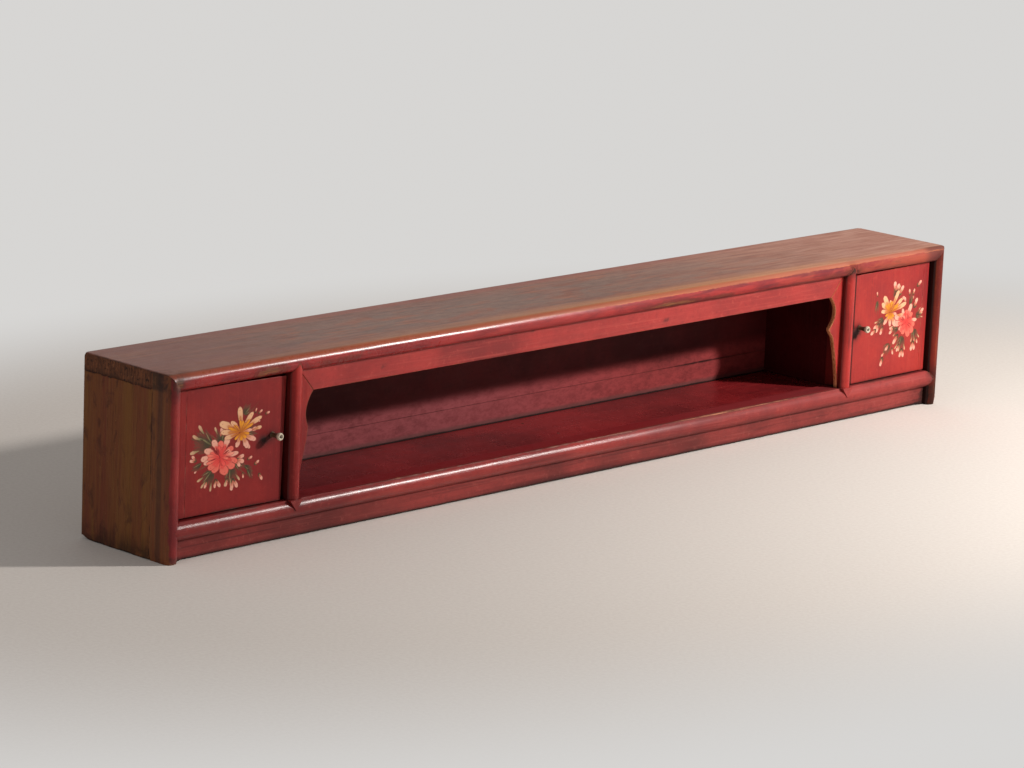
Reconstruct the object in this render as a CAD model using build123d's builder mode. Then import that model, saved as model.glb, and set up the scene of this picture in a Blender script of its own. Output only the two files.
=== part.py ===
from build123d import *
import os

# A kang cabinet: a long, low, lacquered wooden chest with an open shelf in the middle and a small
# cupboard with a pivoted door at each end.
# Millimetres. X runs along the length, Y from front to back, Z up from the floor. The origin is at
# the middle of the footprint. Left and right are as seen from the front.

# ---------------------------------------------------------------- overall size
LENGTH = 1800.0
DEPTH = 205.0
HEIGHT = 288.0

# ---------------------------------------------------------------- frame members
NOSE = 12.0  # depth of the rounded front of the posts, stiles, bottom rail and top
FRAME_DEPTH = 44.0  # front to back
POST_WIDTH = 24.0
STILE_WIDTH = 24.0
DOOR_OPENING = 217.0  # between a front post and the stile beside it
RAIL_HEIGHT = 28.0
RAIL_TOP = 62.0  # above the floor
STILE_POINT = 16.0  # length of the pointed shoulders at both ends of a stile
RAIL_POINT = 12.0  # length of the pointed shoulders at both ends of the bottom rail

# ---------------------------------------------------------------- boards
TOP_THICKNESS = 27.0
TOP_EASE = 3.0  # rounding of the top's upper edges
BACK_EASE = 6.0  # rounding of the two upright corners at the back
END_THICKNESS = 20.0
FLOOR_THICKNESS = 14.0
FLOOR_STEP = 2.0  # how far the floor board lies below the top of the bottom rail
DIVIDER_THICKNESS = 14.0
DIVIDER_INSET = 3.0  # from the stile's side that faces the middle
BACK_THICKNESS = 10.0
BACK_INSET = 8.0  # from the rear edge of the top
BACK_FOOT = 30.0  # lower edge of the back, above the floor
BACK_SEAM = 98.0  # seam between the two back boards, above the floor
BACK_SEAM_GAP = 0.6
BEARER_WIDTH = 30.0
BEARER_HEIGHT = 26.0

# ---------------------------------------------------------------- aprons
TRIM_INSET = 14.0  # front face of the aprons and spandrels, behind the front
TRIM_THICKNESS = 8.0  # top apron and spandrels
TOP_APRON_DROP = 35.0
SPANDREL_REACH = 30.0  # at the mitre with the top apron
SPANDREL_WAIST = 16.5  # narrowest width between the mitre and the cusp
SPANDREL_CUSP_TOP = 90.0  # cusp's upper point, below the top
SPANDREL_CUSP_DROP = 20.0
SPANDREL_LOBE = 1.0  # how far the middle of the cusp's edge lies behind its upper point
SPANDREL_NECK = 19.0  # width just under the cusp
SPANDREL_NECK_STEP = 2.0  # least step from the cusp back to the neck
SPANDREL_HOLLOW = 2.0  # depth of the long hollow from the neck to the foot
SPANDREL_FOOT = 1.5
LEFT_CUSP_REACH = 21.0  # the left cusp is worn back
RIGHT_CUSP_REACH = 30.0
LOWER_APRON_THICKNESS = 12.0
LOWER_APRON_LIFT = 3.0  # clear of the floor between its two ears
EAR_LENGTH = 10.0

# ---------------------------------------------------------------- joints in the wood
TENON_THICKNESS = 9.0
TENON_LENGTH = 16.0
TENON_SHOULDER = 4.0  # bare width of the member on each side of its tenon
TONGUE_THICKNESS = 4.0  # tongues of the aprons, spandrels and door boards
TONGUE_LENGTH = 4.0
BOARD_TONGUE = 6.0  # thickness and length of the tongues of the floor and dividers
END_TONGUE = 8.0  # thickness and length of the tongues of the end panels
HOUSING = 4.0  # depth by which a divider is let into the top and the floor
BEARER_TENON = 8.0  # height and length
BEARER_TENON_WIDTH = 15.0
FIT_PLAY = 0.1  # clearance round a tenon or tongue, on each side

# ---------------------------------------------------------------- doors
DOOR_THICKNESS = 12.0
DOOR_FACE = 15.0  # face of a closed door, behind the front
DOOR_GAP = 1.5  # at the sides and the top
DOOR_FOOT_GAP = 2.5
PIVOT_STILE_WIDTH = 17.0
PIVOT_ROUNDING = 5.0  # lets the pivot stile turn beside the post
PIVOT_RADIUS = 4.0
PIVOT_PLAY = 0.08
PIVOT_LENGTH = 8.0
PIVOT_END_PLAY = 0.4
DOOR_BATTEN_HEIGHT = 24.0
DOOR_BATTEN_THICKNESS = 7.0
DOOR_BATTEN_MARGIN = 26.0  # from the door's lower or upper edge
DOOR_BATTEN_END = 12.0  # bare board at the free edge
STOP_WIDTH = 10.0
STOP_DEPTH = 8.0
STOP_GAP = 0.5

# ---------------------------------------------------------------- knobs
KNOB_LENGTH = 21.0
KNOB_BASE_RADIUS = 4.6
KNOB_NECK_RADIUS = 3.6
KNOB_NECK_DISTANCE = 7.0  # from the door's face
KNOB_HEAD_RADIUS = 6.0
KNOB_HEAD_ROUNDING = 3.0  # depth of the rounding from the widest part of the head to its face
KNOB_HEAD_SAGITTA = 0.5
KNOB_FACE_RADIUS = 5.0
KNOB_CUP_RADIUS = 3.0
KNOB_CUP_DEPTH = 1.4
KNOB_FROM_EDGE = 28.0  # knob's centre from the stile
LEFT_KNOB_HEIGHT = 168.0
RIGHT_KNOB_HEIGHT = 162.5
KNOB_PIN_RADIUS = 1.2
KNOB_PIN_HEAD_RADIUS = 2.0
KNOB_PIN_HEAD = 1.0
KNOB_WASHER_RADIUS = 5.0
KNOB_WASHER_THICKNESS = 1.0
PIN_PLAY = 0.05

# ---------------------------------------------------------------- nails
NAIL_RADIUS = 1.2
NAIL_HEAD_RADIUS = 2.6
NAIL_HEAD = 1.2
NAIL_LENGTH = 26.0
FLOOR_NAIL_INSET = 30.0  # from the front and the back of a bearer
FLOOR_NAIL_EDGE = 7.5  # from the side of a bearer to its nails, where a divider stands on it
BACK_NAIL_SPACING = 215.0
BACK_NAIL_MARGIN = 30.0  # from the edges of the upper back board
STOP_NAIL_LENGTH = 14.0
STOP_NAIL_MARGIN = 30.0  # from the ends of a stop

# ---------------------------------------------------------------- levels and faces worked out
FRONT = -DEPTH / 2
END = LENGTH / 2
TOP_BASE = HEIGHT - TOP_THICKNESS
RAIL_BASE = RAIL_TOP - RAIL_HEIGHT
RAIL_MIDDLE = RAIL_TOP - RAIL_HEIGHT / 2
FLOOR_TOP = RAIL_TOP - FLOOR_STEP
FLOOR_BASE = FLOOR_TOP - FLOOR_THICKNESS
POST_SIDE = END - POST_WIDTH  # side of a post that faces its door
STILE_OUTER = POST_SIDE - DOOR_OPENING  # side of a stile that faces its door
STILE_CENTRE = STILE_OUTER - STILE_WIDTH / 2
STILE_INNER = STILE_OUTER - STILE_WIDTH  # side of a stile that faces the middle
PANEL_SIDE = END - END_THICKNESS
DIVIDER_INNER = STILE_INNER + DIVIDER_INSET
DIVIDER_OUTER = DIVIDER_INNER + DIVIDER_THICKNESS
DIVIDER_CENTRE = (DIVIDER_INNER + DIVIDER_OUTER) / 2
BACK_FACE = DEPTH - BACK_INSET - BACK_THICKNESS  # front face of the back boards, behind the front
BACK_REAR = BACK_FACE + BACK_THICKNESS
TENON_CENTRE = (NOSE + FRAME_DEPTH) / 2  # behind the front
TRIM_TONGUE_CENTRE = TRIM_INSET + TRIM_THICKNESS / 2
LOWER_TONGUE_CENTRE = TRIM_INSET + LOWER_APRON_THICKNESS / 2
FLOOR_TONGUE_CENTRE = FLOOR_TOP - FLOOR_THICKNESS / 2
END_TONGUE_CENTRE = END - END_THICKNESS / 2
DOOR_BACK = DOOR_FACE + DOOR_THICKNESS
DOOR_SIDE = POST_SIDE - DOOR_GAP
PIVOT_X = DOOR_SIDE - DOOR_THICKNESS / 2
PIVOT_DEPTH = DOOR_FACE + DOOR_THICKNESS / 2
PIVOT_SEAM = DOOR_SIDE - PIVOT_STILE_WIDTH
FREE_SIDE = STILE_OUTER + DOOR_GAP
DOOR_BASE = RAIL_TOP + DOOR_FOOT_GAP
DOOR_TOP = TOP_BASE - DOOR_GAP
LEFT = -1
RIGHT = 1


# ---------------------------------------------------------------- shared drawing functions
def front_plane(distance):
    """Upright plane this far behind the front, drawn as seen from the front."""
    return Plane.XZ.offset(DEPTH / 2 - distance)


def upright_plane(x, z):
    """Level plane at height z whose origin is at the front, for members that stand upright."""
    return Plane(origin=(x, FRONT, z), x_dir=(1, 0, 0), z_dir=(0, 0, 1))


def lengthwise_plane(x, z):
    """Plane across the length at x, drawn with Z across and depth upward, for members along X."""
    return Plane(origin=(x, FRONT, z), x_dir=(0, 0, 1), z_dir=(-1, 0, 0))


def nosed_section(width, depth):
    """Draws a section with a half-round front of depth NOSE and square sides behind it."""
    half = width / 2
    with BuildLine() as outline:
        nose = EllipticalCenterArc((0, NOSE), half, NOSE, start_angle=180, arc_size=180)
        Polyline(nose @ 1, (half, depth), (-half, depth), nose @ 0)
    make_face(outline.edges())


def block(x_limits, depth_limits, z_limits, mode=Mode.ADD):
    """Adds or cuts a box. Depths are measured back from the front; limits may come in any order."""
    x_low, x_high = sorted(x_limits)
    y_low, y_high = sorted(FRONT + depth for depth in depth_limits)
    z_low, z_high = sorted(z_limits)
    with Locations(((x_low + x_high) / 2, (y_low + y_high) / 2, (z_low + z_high) / 2)):
        Box(x_high - x_low, y_high - y_low, z_high - z_low, mode=mode)


def prism(points, depth_limits, mode=Mode.ADD):
    """Adds or cuts an outline drawn as seen from the front, between two depths."""
    near, far = depth_limits
    with BuildSketch(front_plane(near)) as outline:
        with BuildLine():
            Polyline(*points, close=True)
        make_face()
    extrude(outline.sketch, amount=near - far, mode=mode)


def centred(middle, width, play=0.0):
    """Limits of a band of this width about its middle, widened by the play on each side."""
    return (middle - width / 2 - play, middle + width / 2 + play)


def tenon_slot(x, z_limits, play):
    """Upright tenon at x, or with play the mortise that takes it."""
    width = STILE_WIDTH - 2 * TENON_SHOULDER
    mode = Mode.SUBTRACT if play else Mode.ADD
    block(centred(x, width, play), centred(TENON_CENTRE, TENON_THICKNESS, play), z_limits, mode)


def rail_tenon(side, play):
    """Tenon at one end of the bottom rail, or with play the mortise in the post."""
    height = RAIL_HEIGHT - 2 * TENON_SHOULDER
    mode = Mode.SUBTRACT if play else Mode.ADD
    x_limits = (side * POST_SIDE, side * (POST_SIDE + TENON_LENGTH + play))
    depths = centred(TENON_CENTRE, TENON_THICKNESS, play)
    block(x_limits, depths, centred(RAIL_MIDDLE, height, play), mode)


def rail_point_outline(side):
    """Pointed shoulder by which the bottom rail's rounded front runs into a post's."""
    tip = side * (POST_SIDE + RAIL_POINT)
    return [(side * POST_SIDE, RAIL_TOP), (side * POST_SIDE, RAIL_BASE), (tip, RAIL_MIDDLE)]


def stile_point_outline(side, z_shoulder, z_tip):
    """Pointed shoulder by which a stile's rounded front runs into the rail or the top."""
    return [
        (side * STILE_INNER, z_shoulder),
        (side * STILE_OUTER, z_shoulder),
        (side * STILE_CENTRE, z_tip),
    ]


def ease_top_end(side, depth):
    """Rounds off the upper edge at one end of the cabinet."""
    with BuildSketch(front_plane(0)) as waste:
        with Locations((side * (END - TOP_EASE / 2), HEIGHT - TOP_EASE / 2)):
            Rectangle(TOP_EASE, TOP_EASE)
        with Locations((side * (END - TOP_EASE), HEIGHT - TOP_EASE)):
            Circle(TOP_EASE, mode=Mode.SUBTRACT)
    extrude(waste.sketch, amount=-depth, mode=Mode.SUBTRACT)


def ease_back_corner(side):
    """Rounds off the upright corner at the back of one end."""
    with BuildSketch(Plane.XY) as waste:
        with Locations((side * (END - BACK_EASE / 2), DEPTH / 2 - BACK_EASE / 2)):
            Rectangle(BACK_EASE, BACK_EASE)
        with Locations((side * (END - BACK_EASE), DEPTH / 2 - BACK_EASE)):
            Circle(BACK_EASE, mode=Mode.SUBTRACT)
    extrude(waste.sketch, amount=HEIGHT, mode=Mode.SUBTRACT)


def pivot_socket(side, z_mouth, z_bottom):
    """Round blind hole in which one of a door's pivots turns."""
    with BuildSketch(Plane.XY.offset(z_mouth)) as mouth:
        with Locations((side * PIVOT_X, FRONT + PIVOT_DEPTH)):
            Circle(PIVOT_RADIUS + PIVOT_PLAY)
    extrude(mouth.sketch, amount=z_bottom - z_mouth, mode=Mode.SUBTRACT)


def nail(place, length, mode=Mode.ADD):
    """Adds or cuts a nail whose head lies flush in the plane given, driven against its normal."""
    with BuildSketch(place) as head:
        Circle(NAIL_HEAD_RADIUS)
    extrude(head.sketch, amount=-NAIL_HEAD, mode=mode)
    with BuildSketch(place) as shank:
        Circle(NAIL_RADIUS)
    extrude(shank.sketch, amount=-length, mode=mode)


# ---------------------------------------------------------------- places of bearers and nails
# The outer bearers lie half under their dividers, and their nails are on the shelf's side.
BEARER_PLACES = {"left": -DIVIDER_INNER, "middle": 0.0, "right": DIVIDER_INNER}
OUTER_NAIL_LINE = DIVIDER_INNER - BEARER_WIDTH / 2 + FLOOR_NAIL_EDGE


def floor_nail_places():
    """Two nails through the floor board into each bearer."""
    depths = (FRAME_DEPTH + FLOOR_NAIL_INSET, BACK_FACE - FLOOR_NAIL_INSET)
    lines = (-OUTER_NAIL_LINE, 0.0, OUTER_NAIL_LINE)
    spots = [(x, FRONT + depth, FLOOR_TOP) for x in lines for depth in depths]
    return [Plane(origin=spot, x_dir=(1, 0, 0), z_dir=(0, 0, 1)) for spot in spots]


def back_nail_places():
    """Nails from behind: a row into the floor board's rear edge and two into each divider."""
    rear = FRONT + BACK_REAR
    count = int(PANEL_SIDE // BACK_NAIL_SPACING)
    row = [(i * BACK_NAIL_SPACING, FLOOR_TONGUE_CENTRE) for i in range(-count, count + 1)]
    heights = (BACK_SEAM + BACK_NAIL_MARGIN, TOP_BASE - BACK_NAIL_MARGIN)
    upright = [(side * DIVIDER_CENTRE, z) for side in (LEFT, RIGHT) for z in heights]
    return [Plane(origin=(x, rear, z), x_dir=(-1, 0, 0), z_dir=(0, 1, 0)) for x, z in row + upright]


def stop_nail_places(side):
    """Two nails through a door stop into the side of its stile."""
    x = side * (STILE_OUTER + STOP_WIDTH)
    y = FRONT + DOOR_BACK + STOP_GAP + STOP_DEPTH / 2
    heights = (FLOOR_TOP + STOP_NAIL_MARGIN, TOP_BASE - STOP_NAIL_MARGIN)
    return [Plane(origin=(x, y, z), x_dir=(0, 1, 0), z_dir=(side, 0, 0)) for z in heights]


# ---------------------------------------------------------------- the frame
def make_top():
    """The top: one thick plank with a half-round front edge, mitred onto the front posts."""
    with BuildPart() as top:
        with BuildSketch(lengthwise_plane(END, TOP_BASE + TOP_THICKNESS / 2)) as section:
            nosed_section(TOP_THICKNESS, DEPTH)
            fillet(section.vertices().sort_by(Axis.Y)[-2:].sort_by(Axis.X)[-1:], TOP_EASE)
        extrude(amount=LENGTH)
        for side in (LEFT, RIGHT):
            corner = (side * END, TOP_BASE)
            mitre = [(side * END, HEIGHT), corner, (side * POST_SIDE, TOP_BASE)]
            prism(mitre, (0, FRAME_DEPTH), Mode.SUBTRACT)
            ease_top_end(side, DEPTH)
            ease_back_corner(side)
            stile_point = stile_point_outline(side, TOP_BASE, TOP_BASE + STILE_POINT)
            prism(stile_point, (0, NOSE), Mode.SUBTRACT)
            tenon_slot(side * STILE_CENTRE, (TOP_BASE, TOP_BASE + TENON_LENGTH + FIT_PLAY), FIT_PLAY)
            pivot_socket(side, TOP_BASE, DOOR_TOP + PIVOT_LENGTH + PIVOT_END_PLAY)
            block(
                (side * DIVIDER_INNER, side * DIVIDER_OUTER),
                (FRAME_DEPTH, BACK_FACE),
                (TOP_BASE, TOP_BASE + HOUSING),
                Mode.SUBTRACT,
            )
            block(
                centred(side * END_TONGUE_CENTRE, END_TONGUE, FIT_PLAY),
                (FRAME_DEPTH + END_TONGUE - FIT_PLAY, BACK_FACE - END_TONGUE + FIT_PLAY),
                (TOP_BASE, TOP_BASE + END_TONGUE + FIT_PLAY),
                Mode.SUBTRACT,
            )
        top_apron_tongue(Mode.SUBTRACT, FIT_PLAY)
        groove_end = PANEL_SIDE + BOARD_TONGUE
        groove = (TOP_BASE, TOP_BASE + HOUSING)
        block((-groove_end, groove_end), (BACK_FACE, BACK_REAR), groove, Mode.SUBTRACT)
    return top.part


def make_front_post(side):
    """A front post with a half-round front, mitred at its head to the top."""
    middle = side * (END - POST_WIDTH / 2)
    with BuildPart() as post:
        with BuildSketch(upright_plane(middle, 0)):
            nosed_section(POST_WIDTH, FRAME_DEPTH)
        extrude(amount=HEIGHT)
        mitre = [(side * END, HEIGHT), (side * POST_SIDE, HEIGHT), (side * POST_SIDE, TOP_BASE)]
        prism(mitre, (0, FRAME_DEPTH), Mode.SUBTRACT)
        ease_top_end(side, FRAME_DEPTH)
        prism(rail_point_outline(side), (0, NOSE), Mode.SUBTRACT)
        rail_tenon(side, FIT_PLAY)
        end_panel_tongue(side, Mode.SUBTRACT, FIT_PLAY)
    return post.part


def make_bottom_rail():
    """The front rail under the doors and the shelf, with a half-round front and pointed shoulders."""
    point = POST_SIDE + RAIL_POINT
    with BuildPart() as rail:
        with BuildSketch(lengthwise_plane(point, RAIL_MIDDLE)):
            nosed_section(RAIL_HEIGHT, FRAME_DEPTH)
        extrude(amount=2 * point)
        for side in (LEFT, RIGHT):
            for edge in (RAIL_TOP, RAIL_BASE):
                beside = [(side * POST_SIDE, edge), (side * point, edge), (side * point, RAIL_MIDDLE)]
                prism(beside, (0, FRAME_DEPTH), Mode.SUBTRACT)
            behind = (side * POST_SIDE, side * point)
            block(behind, (NOSE, FRAME_DEPTH), (RAIL_BASE, RAIL_TOP), Mode.SUBTRACT)
            rail_tenon(side, 0)
            stile_point = stile_point_outline(side, RAIL_TOP, RAIL_TOP - STILE_POINT)
            prism(stile_point, (0, NOSE), Mode.SUBTRACT)
            tenon_slot(side * STILE_CENTRE, (RAIL_TOP - TENON_LENGTH - FIT_PLAY, RAIL_TOP), FIT_PLAY)
            pivot_socket(side, RAIL_TOP, DOOR_BASE - PIVOT_LENGTH - PIVOT_END_PLAY)
        floor_tongue(Mode.SUBTRACT, FIT_PLAY)
        lower_apron_tongue(Mode.SUBTRACT, FIT_PLAY)
        for x in BEARER_PLACES.values():
            bearer_tenon(x, Mode.SUBTRACT, FIT_PLAY)
    return rail.part


def make_stile(side):
    """A stile between a cupboard and the shelf, with a half-round front and pointed shoulders."""
    foot = RAIL_TOP - STILE_POINT
    head = TOP_BASE + STILE_POINT
    with BuildPart() as stile:
        with BuildSketch(upright_plane(side * STILE_CENTRE, foot)):
            nosed_section(STILE_WIDTH, FRAME_DEPTH)
        extrude(amount=head - foot)
        for shoulder, tip in ((RAIL_TOP, foot), (TOP_BASE, head)):
            for edge in (STILE_INNER, STILE_OUTER):
                beside = [(side * edge, shoulder), (side * edge, tip), (side * STILE_CENTRE, tip)]
                prism(beside, (0, FRAME_DEPTH), Mode.SUBTRACT)
            behind = (side * STILE_INNER, side * STILE_OUTER)
            block(behind, (NOSE, FRAME_DEPTH), (shoulder, tip), Mode.SUBTRACT)
        tenon_slot(side * STILE_CENTRE, (RAIL_TOP - TENON_LENGTH, RAIL_TOP), 0)
        tenon_slot(side * STILE_CENTRE, (TOP_BASE, TOP_BASE + TENON_LENGTH), 0)
        spandrel_tongue(side, Mode.SUBTRACT, FIT_PLAY)
        divider_tongue(side, Mode.SUBTRACT, FIT_PLAY)
        for place in stop_nail_places(side):
            nail(place, STOP_NAIL_LENGTH, Mode.SUBTRACT)
    return stile.part


# ---------------------------------------------------------------- tongues, each also its groove
def end_panel_tongue(side, mode, play=0.0):
    """Tongue of an end panel in the back of its front post."""
    block(
        centred(side * END_TONGUE_CENTRE, END_TONGUE, play),
        (FRAME_DEPTH - BOARD_TONGUE - play, FRAME_DEPTH),
        (0, TOP_BASE),
        mode,
    )


def floor_tongue(mode, play=0.0):
    """Tongue of the floor board in the back of the bottom rail."""
    block(
        (-POST_SIDE, POST_SIDE),
        (FRAME_DEPTH - BOARD_TONGUE - play, FRAME_DEPTH),
        centred(FLOOR_TONGUE_CENTRE, BOARD_TONGUE, play),
        mode,
    )


def lower_apron_tongue(mode, play=0.0):
    """Tongue of the lower apron in the underside of the bottom rail."""
    block(
        (-POST_SIDE, POST_SIDE),
        centred(LOWER_TONGUE_CENTRE, TONGUE_THICKNESS, play),
        (RAIL_BASE, RAIL_BASE + TONGUE_LENGTH + play),
        mode,
    )


def top_apron_tongue(mode, play=0.0):
    """Tongue of the top apron in the underside of the top."""
    reach = STILE_INNER - SPANDREL_REACH + play
    block(
        (-reach, reach),
        centred(TRIM_TONGUE_CENTRE, TONGUE_THICKNESS, play),
        (TOP_BASE, TOP_BASE + TONGUE_LENGTH + play),
        mode,
    )


def spandrel_tongue(side, mode, play=0.0):
    """Tongue of a spandrel in the side of its stile."""
    block(
        (side * STILE_INNER, side * (STILE_INNER + TONGUE_LENGTH + play)),
        centred(TRIM_TONGUE_CENTRE, TONGUE_THICKNESS, play),
        (RAIL_TOP, TOP_BASE),
        mode,
    )


def divider_tongue(side, mode, play=0.0):
    """Tongue of a divider in the back of its stile."""
    block(
        centred(side * DIVIDER_CENTRE, BOARD_TONGUE, play),
        (FRAME_DEPTH - BOARD_TONGUE - play, FRAME_DEPTH),
        (RAIL_TOP, TOP_BASE),
        mode,
    )


def bearer_tenon(x, mode, play=0.0):
    """Stub tenon of a bearer in the back of the bottom rail."""
    block(
        centred(x, BEARER_TENON_WIDTH, play),
        (FRAME_DEPTH - BEARER_TENON - play, FRAME_DEPTH),
        (FLOOR_BASE - BEARER_TENON - play, FLOOR_BASE + play),
        mode,
    )


# ---------------------------------------------------------------- boards of the carcass
def make_end_panel(side):
    """An end panel that runs from the floor to the top behind its front post."""
    with BuildPart() as panel:
        block((side * PANEL_SIDE, side * END), (FRAME_DEPTH, DEPTH), (0, TOP_BASE))
        end_panel_tongue(side, Mode.ADD)
        block(
            centred(side * END_TONGUE_CENTRE, END_TONGUE),
            (FRAME_DEPTH + END_TONGUE, BACK_FACE - END_TONGUE),
            (TOP_BASE, TOP_BASE + END_TONGUE),
        )
        ease_back_corner(side)
        groove = (side * PANEL_SIDE, side * (PANEL_SIDE + BOARD_TONGUE))
        block(groove, (FRAME_DEPTH, BACK_FACE), (FLOOR_BASE, FLOOR_TOP), Mode.SUBTRACT)
        block(groove, (BACK_FACE, BACK_REAR), (BACK_FOOT, TOP_BASE), Mode.SUBTRACT)
    return panel.part


def make_floor_board():
    """The floor of the shelf and both cupboards, let into the end panels and the bottom rail."""
    reach = PANEL_SIDE + BOARD_TONGUE
    with BuildPart() as floor:
        block((-reach, reach), (FRAME_DEPTH, BACK_FACE), (FLOOR_BASE, FLOOR_TOP))
        floor_tongue(Mode.ADD)
        for side in (LEFT, RIGHT):
            block(
                (side * DIVIDER_INNER, side * DIVIDER_OUTER),
                (FRAME_DEPTH, BACK_FACE),
                (FLOOR_TOP - HOUSING, FLOOR_TOP),
                Mode.SUBTRACT,
            )
        for place in floor_nail_places() + back_nail_places():
            nail(place, NAIL_LENGTH, Mode.SUBTRACT)
    return floor.part


def make_divider(side):
    """An upright board between a cupboard and the shelf."""
    with BuildPart() as divider:
        block(
            (side * DIVIDER_INNER, side * DIVIDER_OUTER),
            (FRAME_DEPTH, BACK_FACE),
            (FLOOR_TOP - HOUSING, TOP_BASE + HOUSING),
        )
        divider_tongue(side, Mode.ADD)
        for place in back_nail_places():
            nail(place, NAIL_LENGTH, Mode.SUBTRACT)
    return divider.part


def make_back_board(z_low, z_high):
    """One of the two lengthwise boards of the back."""
    reach = PANEL_SIDE + BOARD_TONGUE
    with BuildPart() as board:
        block((-reach, reach), (BACK_FACE, BACK_REAR), (z_low, z_high))
        for place in back_nail_places():
            nail(place, NAIL_LENGTH, Mode.SUBTRACT)
    return board.part


def make_bearer(x):
    """A cross bearer under the floor board."""
    with BuildPart() as bearer:
        block(centred(x, BEARER_WIDTH), (FRAME_DEPTH, BACK_FACE), (FLOOR_BASE - BEARER_HEIGHT, FLOOR_BASE))
        bearer_tenon(x, Mode.ADD)
        for place in floor_nail_places():
            nail(place, NAIL_LENGTH, Mode.SUBTRACT)
    return bearer.part


# ---------------------------------------------------------------- aprons and spandrels
def make_lower_apron():
    """The board under the bottom rail, which touches the floor with a short ear at each end."""
    with BuildPart() as apron:
        outline = [
            (-POST_SIDE, 0),
            (-POST_SIDE + EAR_LENGTH, 0),
            (-POST_SIDE + EAR_LENGTH + LOWER_APRON_LIFT, LOWER_APRON_LIFT),
            (POST_SIDE - EAR_LENGTH - LOWER_APRON_LIFT, LOWER_APRON_LIFT),
            (POST_SIDE - EAR_LENGTH, 0),
            (POST_SIDE, 0),
            (POST_SIDE, RAIL_BASE),
            (-POST_SIDE, RAIL_BASE),
        ]
        prism(outline, (TRIM_INSET, TRIM_INSET + LOWER_APRON_THICKNESS))
        lower_apron_tongue(Mode.ADD)
    return apron.part


def make_top_apron():
    """The board under the top between the stiles, mitred onto the spandrels."""
    low = TOP_BASE - TOP_APRON_DROP
    reach = STILE_INNER - SPANDREL_REACH
    with BuildPart() as apron:
        outline = [(-STILE_INNER, TOP_BASE), (STILE_INNER, TOP_BASE), (reach, low), (-reach, low)]
        prism(outline, (TRIM_INSET, TRIM_INSET + TRIM_THICKNESS))
        top_apron_tongue(Mode.ADD)
    return apron.part


def make_spandrel(side, cusp_reach):
    """A tapering side board of the shelf opening, cut to a concave curve above a cusp."""
    corner = (side * (STILE_INNER - SPANDREL_REACH), TOP_BASE - TOP_APRON_DROP)
    cusp_top = TOP_BASE - SPANDREL_CUSP_TOP
    cusp_base = cusp_top - SPANDREL_CUSP_DROP
    hollow = (side * (STILE_INNER - SPANDREL_WAIST), (corner[1] + cusp_top) / 2)
    tip = (side * (STILE_INNER - cusp_reach), cusp_top)
    lobe = (side * (STILE_INNER - cusp_reach + SPANDREL_LOBE), (cusp_top + cusp_base) / 2)
    neck_width = min(SPANDREL_NECK, cusp_reach - SPANDREL_NECK_STEP)
    neck = (side * (STILE_INNER - neck_width), cusp_base)
    shin_width = (neck_width + SPANDREL_FOOT) / 2 - SPANDREL_HOLLOW
    shin = (side * (STILE_INNER - shin_width), (cusp_base + RAIL_TOP) / 2)
    foot = (side * (STILE_INNER - SPANDREL_FOOT), RAIL_TOP)
    with BuildPart() as spandrel:
        with BuildSketch(front_plane(TRIM_INSET)):
            with BuildLine():
                ThreePointArc(corner, hollow, tip)
                Spline(tip, lobe, neck)
                ThreePointArc(neck, shin, foot)
                Polyline(foot, (side * STILE_INNER, RAIL_TOP), (side * STILE_INNER, TOP_BASE), corner)
            make_face()
        extrude(amount=-TRIM_THICKNESS)
        spandrel_tongue(side, Mode.ADD)
    return spandrel.part


# ---------------------------------------------------------------- doors
def make_pivot_stile(side):
    """The hinge-side strip of a door, with a round pivot at its foot and its head."""
    with BuildPart() as strip:
        block((side * PIVOT_SEAM, side * DOOR_SIDE), (DOOR_FACE, DOOR_BACK), (DOOR_BASE, DOOR_TOP))
        corner = (side * DOOR_SIDE, FRONT + DOOR_FACE, (DOOR_BASE + DOOR_TOP) / 2)
        fillet(strip.edges().filter_by(Axis.Z).sort_by_distance(corner)[:1], PIVOT_ROUNDING)
        door_tongue(side, Mode.SUBTRACT, FIT_PLAY)
        for z, length in ((DOOR_BASE, -PIVOT_LENGTH), (DOOR_TOP, PIVOT_LENGTH)):
            with BuildSketch(Plane.XY.offset(z)):
                with Locations((side * PIVOT_X, FRONT + PIVOT_DEPTH)):
                    Circle(PIVOT_RADIUS)
            extrude(amount=length)
    return strip.part


def door_tongue(side, mode, play=0.0):
    """Tongue of a door board in its pivot stile."""
    block(
        (side * PIVOT_SEAM, side * (PIVOT_SEAM + TONGUE_LENGTH + play)),
        centred(PIVOT_DEPTH, TONGUE_THICKNESS, play),
        (DOOR_BASE, DOOR_TOP),
        mode,
    )


def make_door_board(side, head_drop, foot_drop, lean, knob_height):
    """A door board. The drops and the lean say how far its free corners are out of square."""
    with BuildPart() as board:
        outline = [
            (side * PIVOT_SEAM, DOOR_BASE),
            (side * (FREE_SIDE + lean), DOOR_BASE - foot_drop),
            (side * FREE_SIDE, DOOR_TOP - head_drop),
            (side * PIVOT_SEAM, DOOR_TOP),
        ]
        prism(outline, (DOOR_FACE, DOOR_BACK))
        door_tongue(side, Mode.ADD)
        with BuildSketch(knob_plane(side, knob_height)):
            Circle(KNOB_PIN_RADIUS + PIN_PLAY)
        extrude(amount=-DOOR_THICKNESS, mode=Mode.SUBTRACT)
    return board.part


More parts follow.
